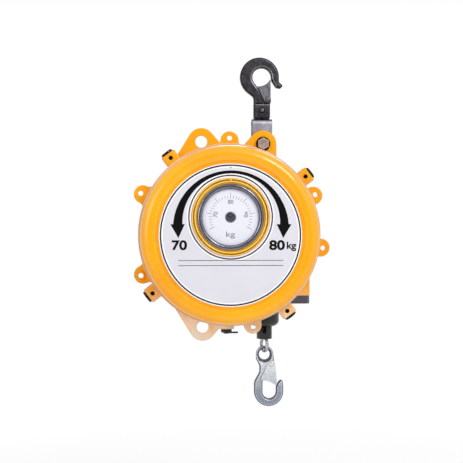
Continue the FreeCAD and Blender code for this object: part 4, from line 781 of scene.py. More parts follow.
    def finish(self, name: str, coats: Sequence[bpy.types.Material], body: str,
               replaces: Sequence[str] = (), smooth: float = 35.0) -> bpy.types.Object:
        """Moves the piece into the frame and hands it over.

        Args:
            name: The piece's name.
            coats: Its materials, in the order of its faces' coats.
            body: The body that it rides on.
            replaces: The packed nodes that it stands for.
            smooth: The angle in degrees above which an edge is drawn sharp.

        Returns:
            The finished object.
        """
        self.mesh.transform(Matrix.Scale(MILLIMETRE, 4) @ Matrix.Translation(COVER_CENTRE))
        mesh = bpy.data.meshes.new(name)
        self.mesh.to_mesh(mesh)
        self.mesh.free()
        for coat in coats:
            mesh.materials.append(coat)
        mesh.shade_smooth()
        mesh.set_sharp_from_angle(angle=math.radians(smooth))
        piece = bpy.data.objects.new(name, mesh)
        bpy.context.scene.collection.objects.link(piece)
        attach(piece, body)
        if replaces:
            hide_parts(*replaces)
        LOG.info("%s: %d faces on %s", name, len(mesh.polygons), body)
        return piece


def mesh_of(curve: bpy.types.Curve) -> bpy.types.Mesh:
    """Turns a curve into a mesh.

    Args:
        curve: The curve, which is removed.

    Returns:
        The mesh.
    """
    holder = bpy.data.objects.new("holder", curve)
    mesh = bpy.data.meshes.new_from_object(holder)
    bpy.data.objects.remove(holder)
    bpy.data.curves.remove(curve)
    return mesh


def lettering(words: str, height: float, bold: float, thickness: float) -> bpy.types.Mesh:
    """Makes a word as a thin flat solid, its lower left corner at the origin.

    Args:
        words: What is written.
        height: The height of its figures, in millimetres.
        bold: How far the strokes are widened, in millimetres.
        thickness: How thick the ink is, in millimetres.

    Returns:
        The mesh, lying in the picture plane.
    """
    curve = bpy.data.curves.new("word", "FONT")
    curve.body = words
    curve.size = height / FIGURE_SHARE
    curve.offset = bold
    curve.extrude = thickness / 2
    curve.resolution_u = 6
    mesh = mesh_of(curve)
    mesh.transform(Matrix.Rotation(math.pi / 2, 4, "X"))
    return mesh


def spanned(mesh: bpy.types.Mesh, left: float, right: float, low: float, high: float,
            depth: float) -> Matrix:
    """Gives the place that makes a mesh fill a rectangle of the picture plane.

    Args:
        mesh: The mesh to place.
        left: The rectangle's left side.
        right: Its right side.
        low: Its lower side.
        high: Its upper side.
        depth: The depth of the mesh's middle.

    Returns:
        The matrix that moves and scales it there.
    """
    points = [vert.co for vert in mesh.vertices]
    x = [p.x for p in points]
    z = [p.z for p in points]
    wide = (right - left) / (max(x) - min(x))
    tall = (high - low) / (max(z) - min(z))
    start = Matrix.Translation((-min(x), 0, -min(z)))
    return Matrix.Translation((left, depth, low)) @ Matrix.Diagonal((wide, 1, tall, 1)) @ start


def dressed(node: str, name: str, coat: bpy.types.Material, body: str, ease: float,
            segments: int = 2) -> None:
    """Makes a piece from a packed node's own shape, with eased edges and evenly shaded flats.

    Args:
        node: The packed node that the piece stands for.
        name: The piece's name.
        coat: Its material.
        body: The body that it rides on.
        ease: How far its edges are rounded, in millimetres, or 0.
        segments: How many flats the rounding has.
    """
    form = Form(node)
    if ease > 0:
        form.rounded(form.sharp_edges(), ease, segments, clamp=True)
    piece = form.finish(name, [coat], body, [node])
    piece.modifiers.new("weights", "WEIGHTED_NORMAL").keep_sharp = True
    plain = piece.data
    shaded = piece.evaluated_get(bpy.context.evaluated_depsgraph_get())
    piece.data = bpy.data.meshes.new_from_object(shaded)
    piece.modifiers.clear()
    bpy.data.meshes.remove(plain)
    piece.data.name = name


@dataclass
class FrontCover:
    """The pressed and painted cover with its rolled rim, and the ring and pocket round the dial."""

    finishes: Finishes
    lip_radius: float = 149.0
    lip_front: float = 29.0
    lip_back: float = 33.0
    rim_radius: float = 145.0
    rim_rounding: float = 15.5
    crest: float = -4.0
    seat_radius: float = 115.4
    ring_inner: float = 53.6
    ring_outer: float = 62.4
    ring_depth: float = 3.0
    pocket_radius: float = 46.5
    nub_low: Triple = (-1.4, -3.7, 57.6)
    nub_high: Triple = (1.4, -0.5, 61.4)
    nub_rounding: float = 0.5

    def rim(self) -> list[Corner]:
        """Draws the profile from the label's seat over the rim and the lip to the cover's back.

        Returns:
            Its corners.
        """
        fine = 0.2
        return [(self.seat_radius, 0.0, 0.0), (self.seat_radius, -0.8, fine), (117.1, -0.8, fine),
                (117.1, -0.2, 0.0), (117.8, -0.2, 0.0), (117.8, -1.0, fine), (119.5, -1.0, fine),
                (119.5, -0.4, 0.0), (120.2, -0.4, 0.0), (120.2, -1.3, fine), (129.4, self.crest, 0.0),
                (self.rim_radius, self.crest, self.rim_rounding), (self.rim_radius, self.lip_front, 0.9),
                (self.lip_radius, self.lip_front, 1.2), (self.lip_radius, self.lip_back, 0.4),
                (136.0, self.lip_back, 0.0), (136.0, 60.0, 0.8), (131.0, 60.0, 0.8), (131.0, 29.0, 0.0),
                (139.0, 23.0, 0.0), (139.0, 14.0, 4.0), (130.0, 5.0, 4.0), (110.0, 5.0, 0.0)]

    def ring(self) -> list[Corner]:
        """Draws the profile from the label's hole over the double ring, down the pocket, to the back.

        Returns:
            Its corners.
        """
        return [(self.ring_outer, 0.0, 0.0), (self.ring_outer, -3.6, 0.9), (60.6, -3.6, 0.8),
                (60.0, 1.0, 0.2), (59.1, 1.0, 0.2), (58.4, -3.0, 0.9), (56.1, -3.0, 0.9),
                (self.ring_inner + 1.8, 0.1, 0.2), (self.pocket_radius, 0.1, 0.0),
                (self.pocket_radius, 22.0, 0.0), (5.0, 22.0, 0.0), (5.0, 27.0, 0.0), (16.0, 27.0, 0.0),
                (16.0, 57.0, 0.5), (21.0, 57.0, 0.5), (21.0, 27.0, 1.0), (50.0, 27.0, 1.0),
                (50.0, 5.0, 0.0)]

    def index_nub(self, form: Form) -> None:
        """Adds the small nub across the groove over the dial.

        Args:
            form: The cover.
        """
        points = form.block(ARBOR_AXIS + Vector(self.nub_low), ARBOR_AXIS + Vector(self.nub_high))
        sides = {edge for point in points for edge in point.link_edges}
        form.rounded(sides, self.nub_rounding, 2)

    def coat_at(self, spot: Vector) -> int:
        """Tells which coat the cover has at a spot: paint, the bare lip's or the ring's.

        Args:
            spot: A point on the cover.

        Returns:
            The coat's number.
        """
        from_dial, depth = Axis.DEPTH.measure(ARBOR_AXIS, spot)
        if from_dial < self.ring_outer + 0.1 and depth < self.ring_depth:
            return 2
        radius, depth = Axis.DEPTH.measure(COVER_AXIS, spot)
        if radius > self.rim_radius + 1.4 and self.lip_front - 0.1 < depth < self.lip_back + 0.1:
            return 1
        return 0

    def build(self) -> None:
        """Builds the cover."""
        form = Form()
        form.turned(self.rim(), Axis.DEPTH, COVER_AXIS, 192, closed=False, segments=8)
        form.turned(self.ring(), Axis.DEPTH, ARBOR_AXIS, 192, closed=False)
        rim, ring = self.rim(), self.ring()
        for outer, inner in ((rim[0], ring[0]), (rim[-1], ring[-1])):
            form.fill_between(form.ring_edges(Axis.DEPTH, COVER_AXIS, *outer[:2]),
                              form.ring_edges(Axis.DEPTH, ARBOR_AXIS, *inner[:2]))
        self.index_nub(form)
        form.close()
        for face in form.mesh.faces:
            face.material_index = self.coat_at(face.calc_center_median())
        coats = [self.finishes[name] for name in ("gloss_enamel", "bare_lip", "lit_ring_enamel")]
        form.finish("cover_casting", coats, "housing", ["front_cover"])


@dataclass
class Label:
    """The printed sheet in the cover's face, its lines, arrow and figures."""

    finishes: Finishes
    radius: float = 115.0
    hole: float = 63.0
    thickness: float = 0.6
    ink: float = 0.12
    outer_bands: tuple[float, ...] = (113.5, 111.0, 108.8)
    inner_bands: tuple[float, ...] = (70.2, 68.1, 65.9)
    figures: tuple[tuple[str, float, float, float, float, float], ...] = (
        ("70", 0.75, -94.4, -69.9, -24.0, -7.7),
        ("80", 0.75, 61.8, 87.2, -24.0, -7.7),
        ("kg", 0.5, 90.2, 105.6, -25.6, -10.4),
    )
    rule_heights: tuple[float, ...] = (-40.3, -48.5)
    rule_span: tuple[float, float] = (-83.8, 84.8)
    rule_half: float = 0.45
    dot: Triple = (0.3, 108.4, 0.8)
    arrow_ends: float = 17.8
    arrow_tip: float = -4.3
    arrow_heads: tuple[Triple, ...] = ((-96.5, -73.6, -83.8), (73.9, 97.8, 84.5))
    outer_arc: Triple = (0.6, 10.9, 93.0)
    inner_arc: Triple = (1.1, 20.6, 78.4)

    def sheet(self) -> None:
        """Builds the sheet from rings of white film, line ink and lavender film."""
        form = Form()
        front = -self.thickness
        loops = [form.circle(r, COVER_AXIS, front) for r in (self.radius, *self.outer_bands)]
        loops += [form.circle(r, ARBOR_AXIS, front) for r in (*self.inner_bands, self.hole)]
        for n, coat in enumerate((0, 1, 0, 2, 0, 1, 0)):
            form.fill_between(loops[n], loops[n + 1], coat)
        form.thicken(self.thickness - 0.02)
        films = [self.finishes[name] for name in ("white_film", "line_ink", "lavender_film")]
        form.finish("label_sheet", films, "housing", ["label_plate"])

    def arc(self, form: Form, shape: Triple, steps: int = 96) -> list[bmesh.types.BMEdge]:
        """Adds an arc over the dial that ends at the same height on both sides.

        Args:
            form: The piece that it is added to.
            shape: Its centre across and up, and its radius.
            steps: How many edges it has.

        Returns:
            Its edges.
        """
        across, up, radius = shape
        centre = Vector((across, 0, up))
        start = math.asin((self.arrow_ends - up) / radius)
        way = Vector((radius * math.cos(start), -self.thickness - self.ink, radius * math.sin(start)))
        old = set(form.mesh.edges)
        point = form.mesh.verts.new(centre + way)
        bmesh.ops.spin(form.mesh, geom=[point], cent=centre, axis=(0, -1, 0), dvec=(0, 0, 0),
                       angle=math.pi - 2 * start, steps=steps)
        return [edge for edge in form.mesh.edges if edge not in old]

    def arrow(self) -> None:
        """Builds the double arrow over the dial, thin at its top and wide at its ends."""
        form = Form()
        edges = self.arc(form, self.outer_arc) + self.arc(form, self.inner_arc)
        bmesh.ops.bridge_loops(form.mesh, edges=edges)
        front = -self.thickness - self.ink
        for left, right, tip in self.arrow_heads:
            spots = ((left, self.arrow_ends), (right, self.arrow_ends), (tip, self.arrow_tip))
            form.mesh.faces.new([form.mesh.verts.new((x, front, z)) for x, z in spots])
        form.thicken(self.ink)
        form.finish("arrow_print", [self.finishes["black_ink"]], "housing")

    def words(self) -> None:
        """Builds the load figures with their unit."""
        form = Form()
        for words, bold, left, right, low, high in self.figures:
            mesh = lettering(words, high - low, bold, self.ink)
            form.add_mesh(mesh, spanned(mesh, left, right, low, high, -self.thickness - self.ink / 2))
        form.close()
        form.finish("load_figures", [self.finishes["black_ink"]], "housing")

    def rules(self) -> None:
        """Builds the two rules under the figures and the dot at the label's top."""
        form = Form()
        left, right = self.rule_span
        across, up, half = self.dot
        bars = [(left, right, height, self.rule_half) for height in self.rule_heights]
        for start, end, height, reach in (*bars, (across - half, across + half, up, half)):
            form.block(Vector((start, -self.thickness - self.ink, height - reach)),
                       Vector((end, -self.thickness, height + reach)))
        form.finish("label_rules", [self.finishes["line_ink"]], "housing")

    def build(self) -> None:
        """Builds the whole label."""
        self.sheet()
        self.arrow()
        self.words()
        self.rules()


@dataclass
class Dial:
    """The bezel, the turning dial with its scale, and the screw in its middle."""

    finishes: Finishes
    radius: float = 45.4
    front: float = 2.0
    back: float = 3.5
    ink: float = 0.08
    first_load: int = 65
    last_load: int = 95
    degrees_per_load: float = 8.0
    top_load: int = 80
    tick_inner: float = 30.2
    short_tick: float = 4.8
    long_tick: float = 9.2
    long_half: float = 0.42
    short_half: float = 0.34
    loads_per_long_tick: int = 5
    figures: tuple[int, ...] = (70, 80, 90)
    figure_bold: float = 0.2
    figure_span: tuple[float, float, float, float] = (-4.6, 4.6, 21.2, 28.2)
    unit_height: float = 10.0
    unit_bold: float = 0.16
    unit_span: tuple[float, float, float, float] = (-7.3, 7.3, -34.3, -23.0)
    screw_hole: float = 2.0
    bezel_inner: float = 45.8
    bezel_outer: float = 53.7
    bezel_front: float = -4.0
    bezel_rounding: float = 3.6

    def bezel(self) -> None:
        """Builds the round-edged ring that frames the dial."""
        form = Form()
        front = self.bezel_front
        rounding = self.bezel_rounding
        form.turned([(self.bezel_inner, 4.0, 0.0), (self.bezel_inner, front, rounding),
                     (self.bezel_outer, front, rounding), (self.bezel_outer, 0.0, 0.0),
                     (46.4, 0.0, 0.0), (46.4, 4.0, 0.0)],
                    Axis.DEPTH, ARBOR_AXIS, 144, segments=8)
        form.close()
        form.finish("bezel_ring", [self.finishes["bezel_steel"]], "housing", ["dial_bezel"])

    def angle(self, load: float) -> float:
        """The angle in degrees, from the right towards the top, at which a load stands on the scale."""
        return 90.0 - (load - self.top_load) * self.degrees_per_load

    def plate(self) -> None:
        """Builds the dial's plate."""
        form = Form()
        form.turned([(self.screw_hole, self.front, 0.0), (self.radius, self.front, 0.4),
                     (self.radius, self.back, 0.2), (self.screw_hole, self.back, 0.0)],
                    Axis.DEPTH, ARBOR_AXIS, 144)
        form.close()
        form.finish("dial_disc", [self.finishes["dial_enamel"]], "dial", ["dial_plate"])

    def scale(self) -> None:
        """Builds the scale's marks and figures."""
        form = Form()
        for load in range(self.first_load, self.last_load + 1):
            long = load % self.loads_per_long_tick == 0
            half = self.long_half if long else self.short_half
            reach = self.long_tick if long else self.short_tick
            start = ARBOR_AXIS + Vector((self.tick_inner, self.front - self.ink, -half))
            points = form.block(start, start + Vector((reach, self.ink, 2 * half)))
            form.turn_about("Y", -self.angle(load), ARBOR_AXIS, points)
        middle = self.front - self.ink / 2
        arbor = Matrix.Translation(ARBOR_AXIS)
        for load in self.figures:
            low, high = self.figure_span[2:]
            mesh = lettering(str(load), high - low, self.figure_bold, self.ink)
            turn = Matrix.Rotation(math.radians(90 - self.angle(load)), 4, "Y")
            form.add_mesh(mesh, arbor @ turn @ spanned(mesh, *self.figure_span, middle))
        mesh = lettering("kg", self.unit_height, self.unit_bold, self.ink)
        form.add_mesh(mesh, arbor @ spanned(mesh, *self.unit_span, middle))
        form.close()
        form.finish("dial_scale", [self.finishes["pale_ink"]], "dial")

    def build(self) -> None:
        """Builds the bezel, the dial and its screw."""
        self.bezel()
        self.plate()
        self.scale()
        steel = self.finishes["dial_screw_steel"]
        dressed("dial_screw", "dial_screw_head", steel, "dial", 0.3)


@dataclass
class Housing:
    """The cast housing with its ears, lugs, bosses and worm box, and what is bolted to it."""

    finishes: Finishes
    boss_end: float = 166.0
    clamp_depth: float = 51.0
    clamp_head_radius: float = 10.25
    clamp_head_height: float = 4.4
    clamp_socket_depth: float = 2.4
    screw_circle: float = 157.7
    boss_front: float = 40.0

    def casting(self) -> None:
        """Builds the casting with the edges that it was packed with."""
        coat = self.finishes["casting_enamel"]
        dressed("main_housing", "housing_casting", coat, "housing", 0.0)

    def clamp_bolts(self) -> None:
        """Builds the four radial bolts with a round recess in each head."""
        form = Form()
        edge, top = self.clamp_head_radius, self.clamp_head_height
        bottom = top - self.clamp_socket_depth
        profile = [(0.0, -20.0, 0.0), (5.0, -20.0, 0.0), (5.0, 0.0, 0.0), (edge, 0.0, 0.3),
                   (edge, top, 1.4), (4.3, top, 0.3), (3.9, bottom, 0.0), (0.0, bottom, 0.0)]
        for degrees in BOSS_ANGLES:
            old = set(form.mesh.verts)
            form.turned(profile, Axis.UPRIGHT, COVER_AXIS, 60, closed=False)
            points = [vert for vert in form.mesh.verts if vert not in old]
            form.turn_about("Y", 90.0, COVER_AXIS, points)
            bmesh.ops.translate(form.mesh, verts=points, vec=Vector((self.boss_end, self.clamp_depth, 0)))
            form.turn_about("Y", -degrees, COVER_AXIS, points)
        form.close()
        steel = [self.finishes["black_oxide"]]
        form.finish("clamp_bolt_heads", steel, "housing", ["clamp_bolts"])

    def set_screws(self) -> None:
        """Builds the socket screws in the bosses' front faces."""
        form = Form()
        profile = [(0.0, 2.2, 0.0), (1.6, 2.2, 0.0), (1.9, -0.3, 0.1), (3.4, -0.3, 0.4),
                   (3.4, 4.8, 0.0), (0.0, 4.8, 0.0)]
        for degrees in BOSS_ANGLES:
            spot = Vector((self.screw_circle, self.boss_front, 0))
            spot.rotate(Matrix.Rotation(math.radians(-degrees), 3, "Y"))
            form.turned(profile, Axis.DEPTH, spot, 36, closed=False)
        form.close()
        steel = [self.finishes["black_oxide"]]
        form.finish("boss_set_screws", steel, "housing", ["set_screws"])

    def build(self) -> None:
        """Builds the casting and its fixings."""
        self.casting()
        self.clamp_bolts()
        self.set_screws()
        made = self.finishes
        steel = made["machined_steel"]
        dressed("worm_end_plate", "worm_box_foot", made["grey_enamel"], "housing", 0.8)
        dressed("end_plate_screws", "foot_screws", made["black_oxide"], "housing", 0.3)
        dressed("rear_cap", "rear_cover", made["grey_enamel"], "housing", 0.5)
        dressed("rear_cap_screws", "rear_cover_screws", steel, "housing", 0.5)


@dataclass
class Suspension:
    """The bolt through the housing's lugs, the bent yoke, the swivel and the top hook with its latch."""

    finishes: Finishes

    def build(self) -> None:
        """Builds the suspension from the bolt up."""
        made = self.finishes
        dressed("suspension_bolt", "pivot_bolt", made["bolt_brown"], "housing", 0.25)
        dressed("suspension_nut", "pivot_nut", made["bolt_brown"], "housing", 0.25)
        # The washers are made black, standing in as painted shade round the bolt head.
        dressed("suspension_washers", "pivot_washers", made["black_oxide"], "housing", 0.3)
        dressed("yoke", "bent_yoke", made["yoke_plate"], "yoke", 0.8)
        dressed("swivel_washer", "thrust_washer", made["black_oxide"], "yoke", 0.4)
        dressed("swivel_pin", "cross_pin", made["pin_steel"], "top_hook", 0.3)
        dressed("top_hook", "snap_hook_forging", made["forged_black"], "top_hook", 1.2, 3)
        dressed("top_latch", "snap_hook_latch", made["latch_plate"], "top_latch", 0.35)
        dressed("top_latch_rivet", "snap_hook_rivet", made["pin_steel"], "top_hook", 0.5)


@dataclass
class RopeOutlet:
    """The guide under the housing, the stop sleeve, and the wire rope with its eye."""

    finishes: Finishes
    guide_radius: float = 24.9
    guide_top: float = -113.0
    guide_seat: float = -128.0
    guide_bottom: float = -156.1
    sleeve_radius: float = 13.1
    sleeve_top: float = -156.4
    sleeve_bottom: float = -178.1
    sleeve_wall: float = 1.3
    rope_radius: float = 3.0
    strands: int = 6
    lay: float = 42.0
    run_top: float = 29.0
    run_bottom: float = -160.4
    run_steps: int = 160
    loop_radius: float = 11.0
    loop_lean: float = 46.0
    loop_centre: float = -188.0
    loop_top: float = -175.4
    loop_steps: int = 28
    loop_turn: float = 22.0

    def guide(self) -> None:
        """Builds the funnel that leads the rope out of the housing."""
        form = Form()
        top, low, edge = self.guide_top, self.guide_bottom, self.guide_radius
        form.turned([(4.5, top - 10, 2.0), (12.0, top, 1.0), (20.9, top, 0.5),
                     (20.9, self.guide_seat, 0.0), (edge, self.guide_seat, 0.6), (edge, low + 6, 3.0),
                     (18.9, low, 3.0), (12.0, low, 1.5), (4.5, low + 8, 2.0)],
                    Axis.UPRIGHT, ROPE_AXIS, 96)
        form.close()
        moulding = [self.finishes["black_moulding"]]
        form.finish("outlet_funnel", moulding, "housing", ["rope_guide"])

    def sleeve(self) -> None:
        """Builds the glossy sleeve that meets the guide when the rope is in."""
        form = Form()
        top, low, edge = self.sleeve_top, self.sleeve_bottom, self.sleeve_radius
        inner = edge - self.sleeve_wall
        form.turned([(3.1, top, 0.0), (edge, top, 0.8), (edge, low, 1.2), (inner, low, 0.0),
                     (inner, top + 4.4, 0.0), (3.1, top + 4.4, 0.0)],
                    Axis.UPRIGHT, ROPE_AXIS, 96)
        form.close()
        form.finish("stop_bumper", [self.finishes["gloss_rubber"]], "rope", ["stop_sleeve"])

    def stations(self, path: list[Vector]) -> list[Station]:
        """Carries two directions across the rope along its path, and the angle of its strands.

        Args:
            path: The points of the rope's middle line, closely spaced.

        Returns:
            Every point with its two directions and the angle in radians.
        """
        side = Vector((0, 1, 0))
        found = []
        gone = 0.0
        for n, point in enumerate(path):
            ahead = path[min(n + 1, len(path) - 1)] - path[max(n - 1, 0)]
            ahead.normalize()
            side = (side - ahead * side.dot(ahead)).normalized()
            if n > 0:
                gone += (point - path[n - 1]).length
            found.append((point, side.copy(), ahead.cross(side), FULL_TURN * gone / self.lay))
        return found

    def strand(self, stations: list[Station], number: int) -> bpy.types.Mesh:
        """Builds one strand.

        Args:
            stations: The path's points with their directions and angles.
            number: The strand's number, where the last one is the core.

        Returns:
            The strand's mesh.
        """
        radius = self.rope_radius / 3
        reach = 2 * radius if number < self.strands else 0.0
        curve = bpy.data.curves.new("strand", "CURVE")
        curve.dimensions = "3D"
        curve.bevel_depth = radius * 1.02
        curve.bevel_resolution = 2
        curve.use_fill_caps = True
        line = curve.splines.new("POLY")
        line.points.add(len(stations) - 1)
        for spot, (point, first, second, angle) in zip(line.points, stations):
            turn = angle + FULL_TURN * number / self.strands
            out = (first * math.cos(turn) + second * math.sin(turn)) * reach
            spot.co = (*(point + out), 1.0)
        return mesh_of(curve)

    def laid(self, name: str, path: list[Vector], body: str, replaces: list[str]) -> bpy.types.Object:
        """Builds a length of rope from strands laid round its path.

        Args:
            name: The piece's name.
            path: The points of the rope's middle line, closely spaced.
            body: The body that it rides on.
            replaces: The packed nodes that it stands for.

        Returns:
            The finished piece.
        """
        form = Form()
        stations = self.stations(path)
        for number in range(self.strands + 1):
            form.add_mesh(self.strand(stations, number), Matrix.Identity(4))
        return form.finish(name, [self.finishes["rope_steel"]], body, replaces, 50.0)

    def loop_path(self) -> list[Vector]:
        """Draws the loop from the sleeve down one side, round the hook's eye and up the other side.

        Returns:
            The points of its middle line.
        """
        radius, centre, top = self.loop_radius, self.loop_centre, self.loop_top
        lean = math.radians(self.loop_lean)
        across, up = radius * math.cos(lean), radius * math.sin(lean)
        run = (top - centre - up) * math.tan(lean)
        points = [Vector((0, -across + run, top))]
        for n in range(self.loop_steps + 1):
            angle = math.pi - lean + (math.pi + 2 * lean) * n / self.loop_steps
            points.append(Vector((0, radius * math.cos(angle), centre + radius * math.sin(angle))))
        points.append(Vector((0, across - run, top)))
        turn = Matrix.Rotation(math.radians(self.loop_turn), 3, "Z")
        spots = [turn @ p + ROPE_AXIS for p in points]
        first = [spots[0].lerp(spots[1], n / 4) for n in range(4)]
        last = [spots[-2].lerp(spots[-1], n / 4) for n in range(1, 5)]
        return first + spots[1:-1] + last

    def run(self) -> None:
        """Builds the straight rope from the drum to the sleeve, which grows as the rope pays out."""
        step = (self.run_bottom - self.run_top) / self.run_steps
        path = [ROPE_AXIS + Vector((0, 0, self.run_top + step * n)) for n in range(self.run_steps + 1)]
        piece = self.laid("rope_line", path, "rope", ["rope_run"])
        world = piece.matrix_world.copy()
        piece.parent = None
        piece.matrix_world = world
        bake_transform(piece)

    def build(self) -> None:
        """Builds the outlet and the rope."""
        self.guide()
        self.sleeve()
        self.laid("rope_loop", self.loop_path(), "rope", ["rope_eye"])
        self.run()
        dressed("rope_ferrule", "pressed_ferrule", self.finishes["zinc_plate"], "rope", 0.8)


@dataclass
class LoadHook:
    """The zinc plated hook that the tool hangs on, and its latch."""

    finishes: Finishes

    def build(self) -> None:
        """Builds the hook, the latch and its rivet."""
        made = self.finishes
        dressed("load_hook", "load_hook_forging", made["zinc_plate"], "load_hook", 1.0, 3)
        dressed("load_latch", "load_hook_latch", made["zinc_latch"], "load_latch", 0.35)
        dressed("load_latch_rivet", "load_hook_rivet", made["zinc_plate"], "load_hook", 0.5)


@dataclass
class DrumLock:
    """The knob and the plunger that lock the drum."""

    finishes: Finishes

    def build(self) -> None:
        """Builds the lock."""
        made = self.finishes
        dressed("lock_knob", "lock_handle", made["black_moulding"], "lock", 1.0, 3)
        dressed("lock_plunger", "lock_pin", made["machined_steel"], "lock", 0.4)


@dataclass
class Inside:
    """The mechanism inside, which keeps its packed shapes and gets its finishes."""

    finishes: Finishes
    coats: dict[str, tuple[str, ...]] = field(default_factory=lambda: {
        "bearing_bronze": ("dial_gear", "counter_gear", "dial_pinion", "arbor_bushes", "worm_wheel",
                           "worm_bushes", "pivot_bush"),
        "machined_steel": ("counter_pin", "arbor_shaft", "wheel_key", "worm_shaft", "drum_bearings",
                           "swivel_stud", "lid_screws", "spring_inner_pin", "spring_outer_pin",
                           "rope_anchor_screw"),
        "cast_aluminium_skin": ("rope_drum", "case_lid"),
        "blue_spring": ("main_spring", "lock_spring", "top_latch_spring", "load_latch_spring",
                        "arbor_circlip"),
        "rope_steel": ("rope_on_drum",),
    })

    def build(self) -> None:
        """Gives every packed node that still shows its finish."""
        for coat, nodes in self.coats.items():
            for node in nodes:
                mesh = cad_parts[node].data
                mesh.materials.clear()
                mesh.materials.append(self.finishes[coat])
                LOG.info("%s: packed shape, %s", node, coat)


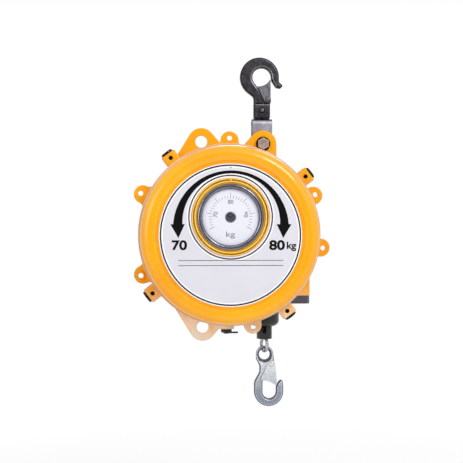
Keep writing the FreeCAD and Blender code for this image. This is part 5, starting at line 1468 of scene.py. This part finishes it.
@dataclass
class Studio:
    """The pale floor, the soft lamps, the white surroundings and the camera."""

    floor_height: float = -0.80
    floor_radius: float = 3.0
    surround: float = 0.55
    lens: float = 87.5
    eye: Triple = (-0.1622, -1.906, -0.2419)
    aim: Triple = (-0.0572, -0.106, -0.2747)
    floor_glow: tuple[float, float, float, float] = (0.75, 1.0, 0.85, 1.3)
    card_depth: float = -2.7
    card_size: float = 3.0
    lamp_aim: Triple = (-0.06, 0.0, -0.27)
    lamps: tuple[tuple[str, Triple, float, float], ...] = (
        ("key_lamp", (0.75, -1.25, 0.75), 0.7, 15.0),
        ("fill_lamp", (-1.3, -1.3, 0.1), 1.0, 7.0),
        ("low_lamp", (-0.1, -1.4, -1.25), 0.8, 12.5),
        ("back_lamp", (0.2, 1.3, 0.7), 1.0, 8.0),
    )

    def prop(self, name: str, shape: bmesh.types.BMesh, coat: bpy.types.Material) -> bpy.types.Object:
        """Puts a piece of the studio into the scene.

        Args:
            name: The piece's name.
            shape: Its shape in metres, which is freed.
            coat: Its material.

        Returns:
            The piece.
        """
        mesh = bpy.data.meshes.new(name)
        shape.to_mesh(mesh)
        shape.free()
        mesh.materials.append(coat)
        piece = bpy.data.objects.new(name, mesh)
        bpy.context.scene.collection.objects.link(piece)
        return piece

    def floor(self) -> None:
        """Builds the floor, white to the camera away from the object's shadow."""
        shape = bmesh.new()
        bmesh.ops.create_circle(shape, cap_ends=True, segments=96, radius=self.floor_radius,
                                matrix=Matrix.Translation((-0.05, 0, self.floor_height)))
        floor = self.prop("studio_floor", shape, self.floor_paint())

    def floor_paint(self) -> bpy.types.Material:
        """Makes the floor's paint: matt near the object, and as white as the surroundings further out.

        Returns:
            The material.
        """
        graph = Graph("floor_paint")
        graph.shader.inputs["Base Color"].default_value = (0.86, 0.86, 0.86, 1.0)
        graph.shader.inputs["Roughness"].default_value = 0.8
        length = graph.arrows("LENGTH", graph.place)
        far = graph.spread(length.outputs["Value"], *self.floor_glow)
        share = graph.combined(far, self.seen_by_camera(graph), "MULTIPLY")
        glow = graph.add("ShaderNodeEmission")
        mix = graph.add("ShaderNodeMixShader")
        graph.feed(mix.inputs[0], share)
        graph.feed(mix.inputs[1], graph.shader.outputs["BSDF"])
        graph.feed(mix.inputs[2], glow.outputs["Emission"])
        output = next(n for n in graph.tree.nodes if n.type == "OUTPUT_MATERIAL")
        graph.feed(output.inputs["Surface"], mix.outputs["Shader"])
        return graph.material

    @staticmethod
    def seen_by_camera(graph: Graph) -> bpy.types.NodeSocket:
        """Tells whether a ray comes from the camera, a reflection or a transparent surface.

        Args:
            graph: The material that asks.

        Returns:
            One where it does, else zero.
        """
        path = graph.add("ShaderNodeLightPath")
        seen = graph.combined(path.outputs["Is Camera Ray"], path.outputs["Is Glossy Ray"], "MAXIMUM")
        return graph.combined(seen, path.outputs["Is Transmission Ray"], "MAXIMUM")

    def card(self) -> None:
        """Hangs a dark card behind the camera, seen in reflections alone, so that gloss has contrast."""
        shape = bmesh.new()
        spot = Matrix.Translation((self.eye[0], self.card_depth, self.eye[2]))
        upright = Matrix.Rotation(math.pi / 2, 4, "X")
        bmesh.ops.create_grid(shape, x_segments=1, y_segments=1, size=self.card_size / 2,
                              matrix=spot @ upright)
        graph = Graph("card_cloth")
        graph.shader.inputs["Base Color"].default_value = (0.02, 0.02, 0.02, 1.0)
        graph.shader.inputs["Specular IOR Level"].default_value = 0.0
        card = self.prop("studio_card", shape, graph.material)
        card.visible_camera = False
        card.visible_diffuse = False
        card.visible_shadow = False

    def surroundings(self) -> None:
        """Makes the world white to the camera and a soft even light to the object."""
        world = bpy.data.worlds.new("studio_surroundings")
        bpy.context.scene.world = world
        world.use_nodes = True
        tree = world.node_tree
        background = tree.nodes["Background"]
        background.inputs["Color"].default_value = (1.0, 1.0, 1.0, 1.0)
        path = tree.nodes.new("ShaderNodeLightPath")
        seen = path.outputs["Is Camera Ray"]
        for name in ("Is Glossy Ray", "Is Transmission Ray"):
            node = tree.nodes.new("ShaderNodeMath")
            node.operation = "MAXIMUM"
            tree.links.new(seen, node.inputs[0])
            tree.links.new(path.outputs[name], node.inputs[1])
            seen = node.outputs["Value"]
        level = tree.nodes.new("ShaderNodeMapRange")
        level.inputs["To Min"].default_value = self.surround
        tree.links.new(seen, level.inputs["Value"])
        tree.links.new(level.outputs["Result"], background.inputs["Strength"])

    @staticmethod
    def turn_to(place: Triple, aim: Triple) -> Euler:
        """The turn that makes a lamp or a camera at a place look at its aim."""
        return (Vector(aim) - Vector(place)).to_track_quat("-Z", "Y").to_euler()

    def lights(self) -> None:
        """Hangs the soft lamps, each turned to the object's middle."""
        for name, place, size, power in self.lamps:
            light = bpy.data.lights.new(name, "AREA")
            light.shape = "DISK"
            light.size = size
            light.energy = power
            lamp = bpy.data.objects.new(name, light)
            lamp.location = place
            lamp.rotation_euler = self.turn_to(place, self.lamp_aim)
            bpy.context.scene.collection.objects.link(lamp)

    def camera(self) -> None:
        """Sets the camera where the photograph was taken from."""
        data = bpy.data.cameras.new("viewer")
        data.lens = self.lens
        camera = bpy.data.objects.new("viewer", data)
        camera.location = self.eye
        camera.rotation_euler = self.turn_to(self.eye, self.aim)
        bpy.context.scene.collection.objects.link(camera)
        bpy.context.scene.camera = camera

    def build(self) -> None:
        """Sets up the studio."""
        self.floor()
        self.card()
        self.surroundings()
        self.lights()
        self.camera()
        bpy.context.scene.view_settings.view_transform = "Standard"


def main() -> None:
    """Builds the studio and every sub-assembly in order."""
    logging.basicConfig(level=logging.INFO, format="%(message)s")
    Studio().build()
    finishes = Finishes()
    for kind in (FrontCover, Label, Dial, Housing, Suspension, RopeOutlet, LoadHook, DrumLock, Inside):
        LOG.info("%s: %s", kind.__name__, (kind.__doc__ or "").splitlines()[0])
        kind(finishes).build()


if __name__ == "__main__":
    main()
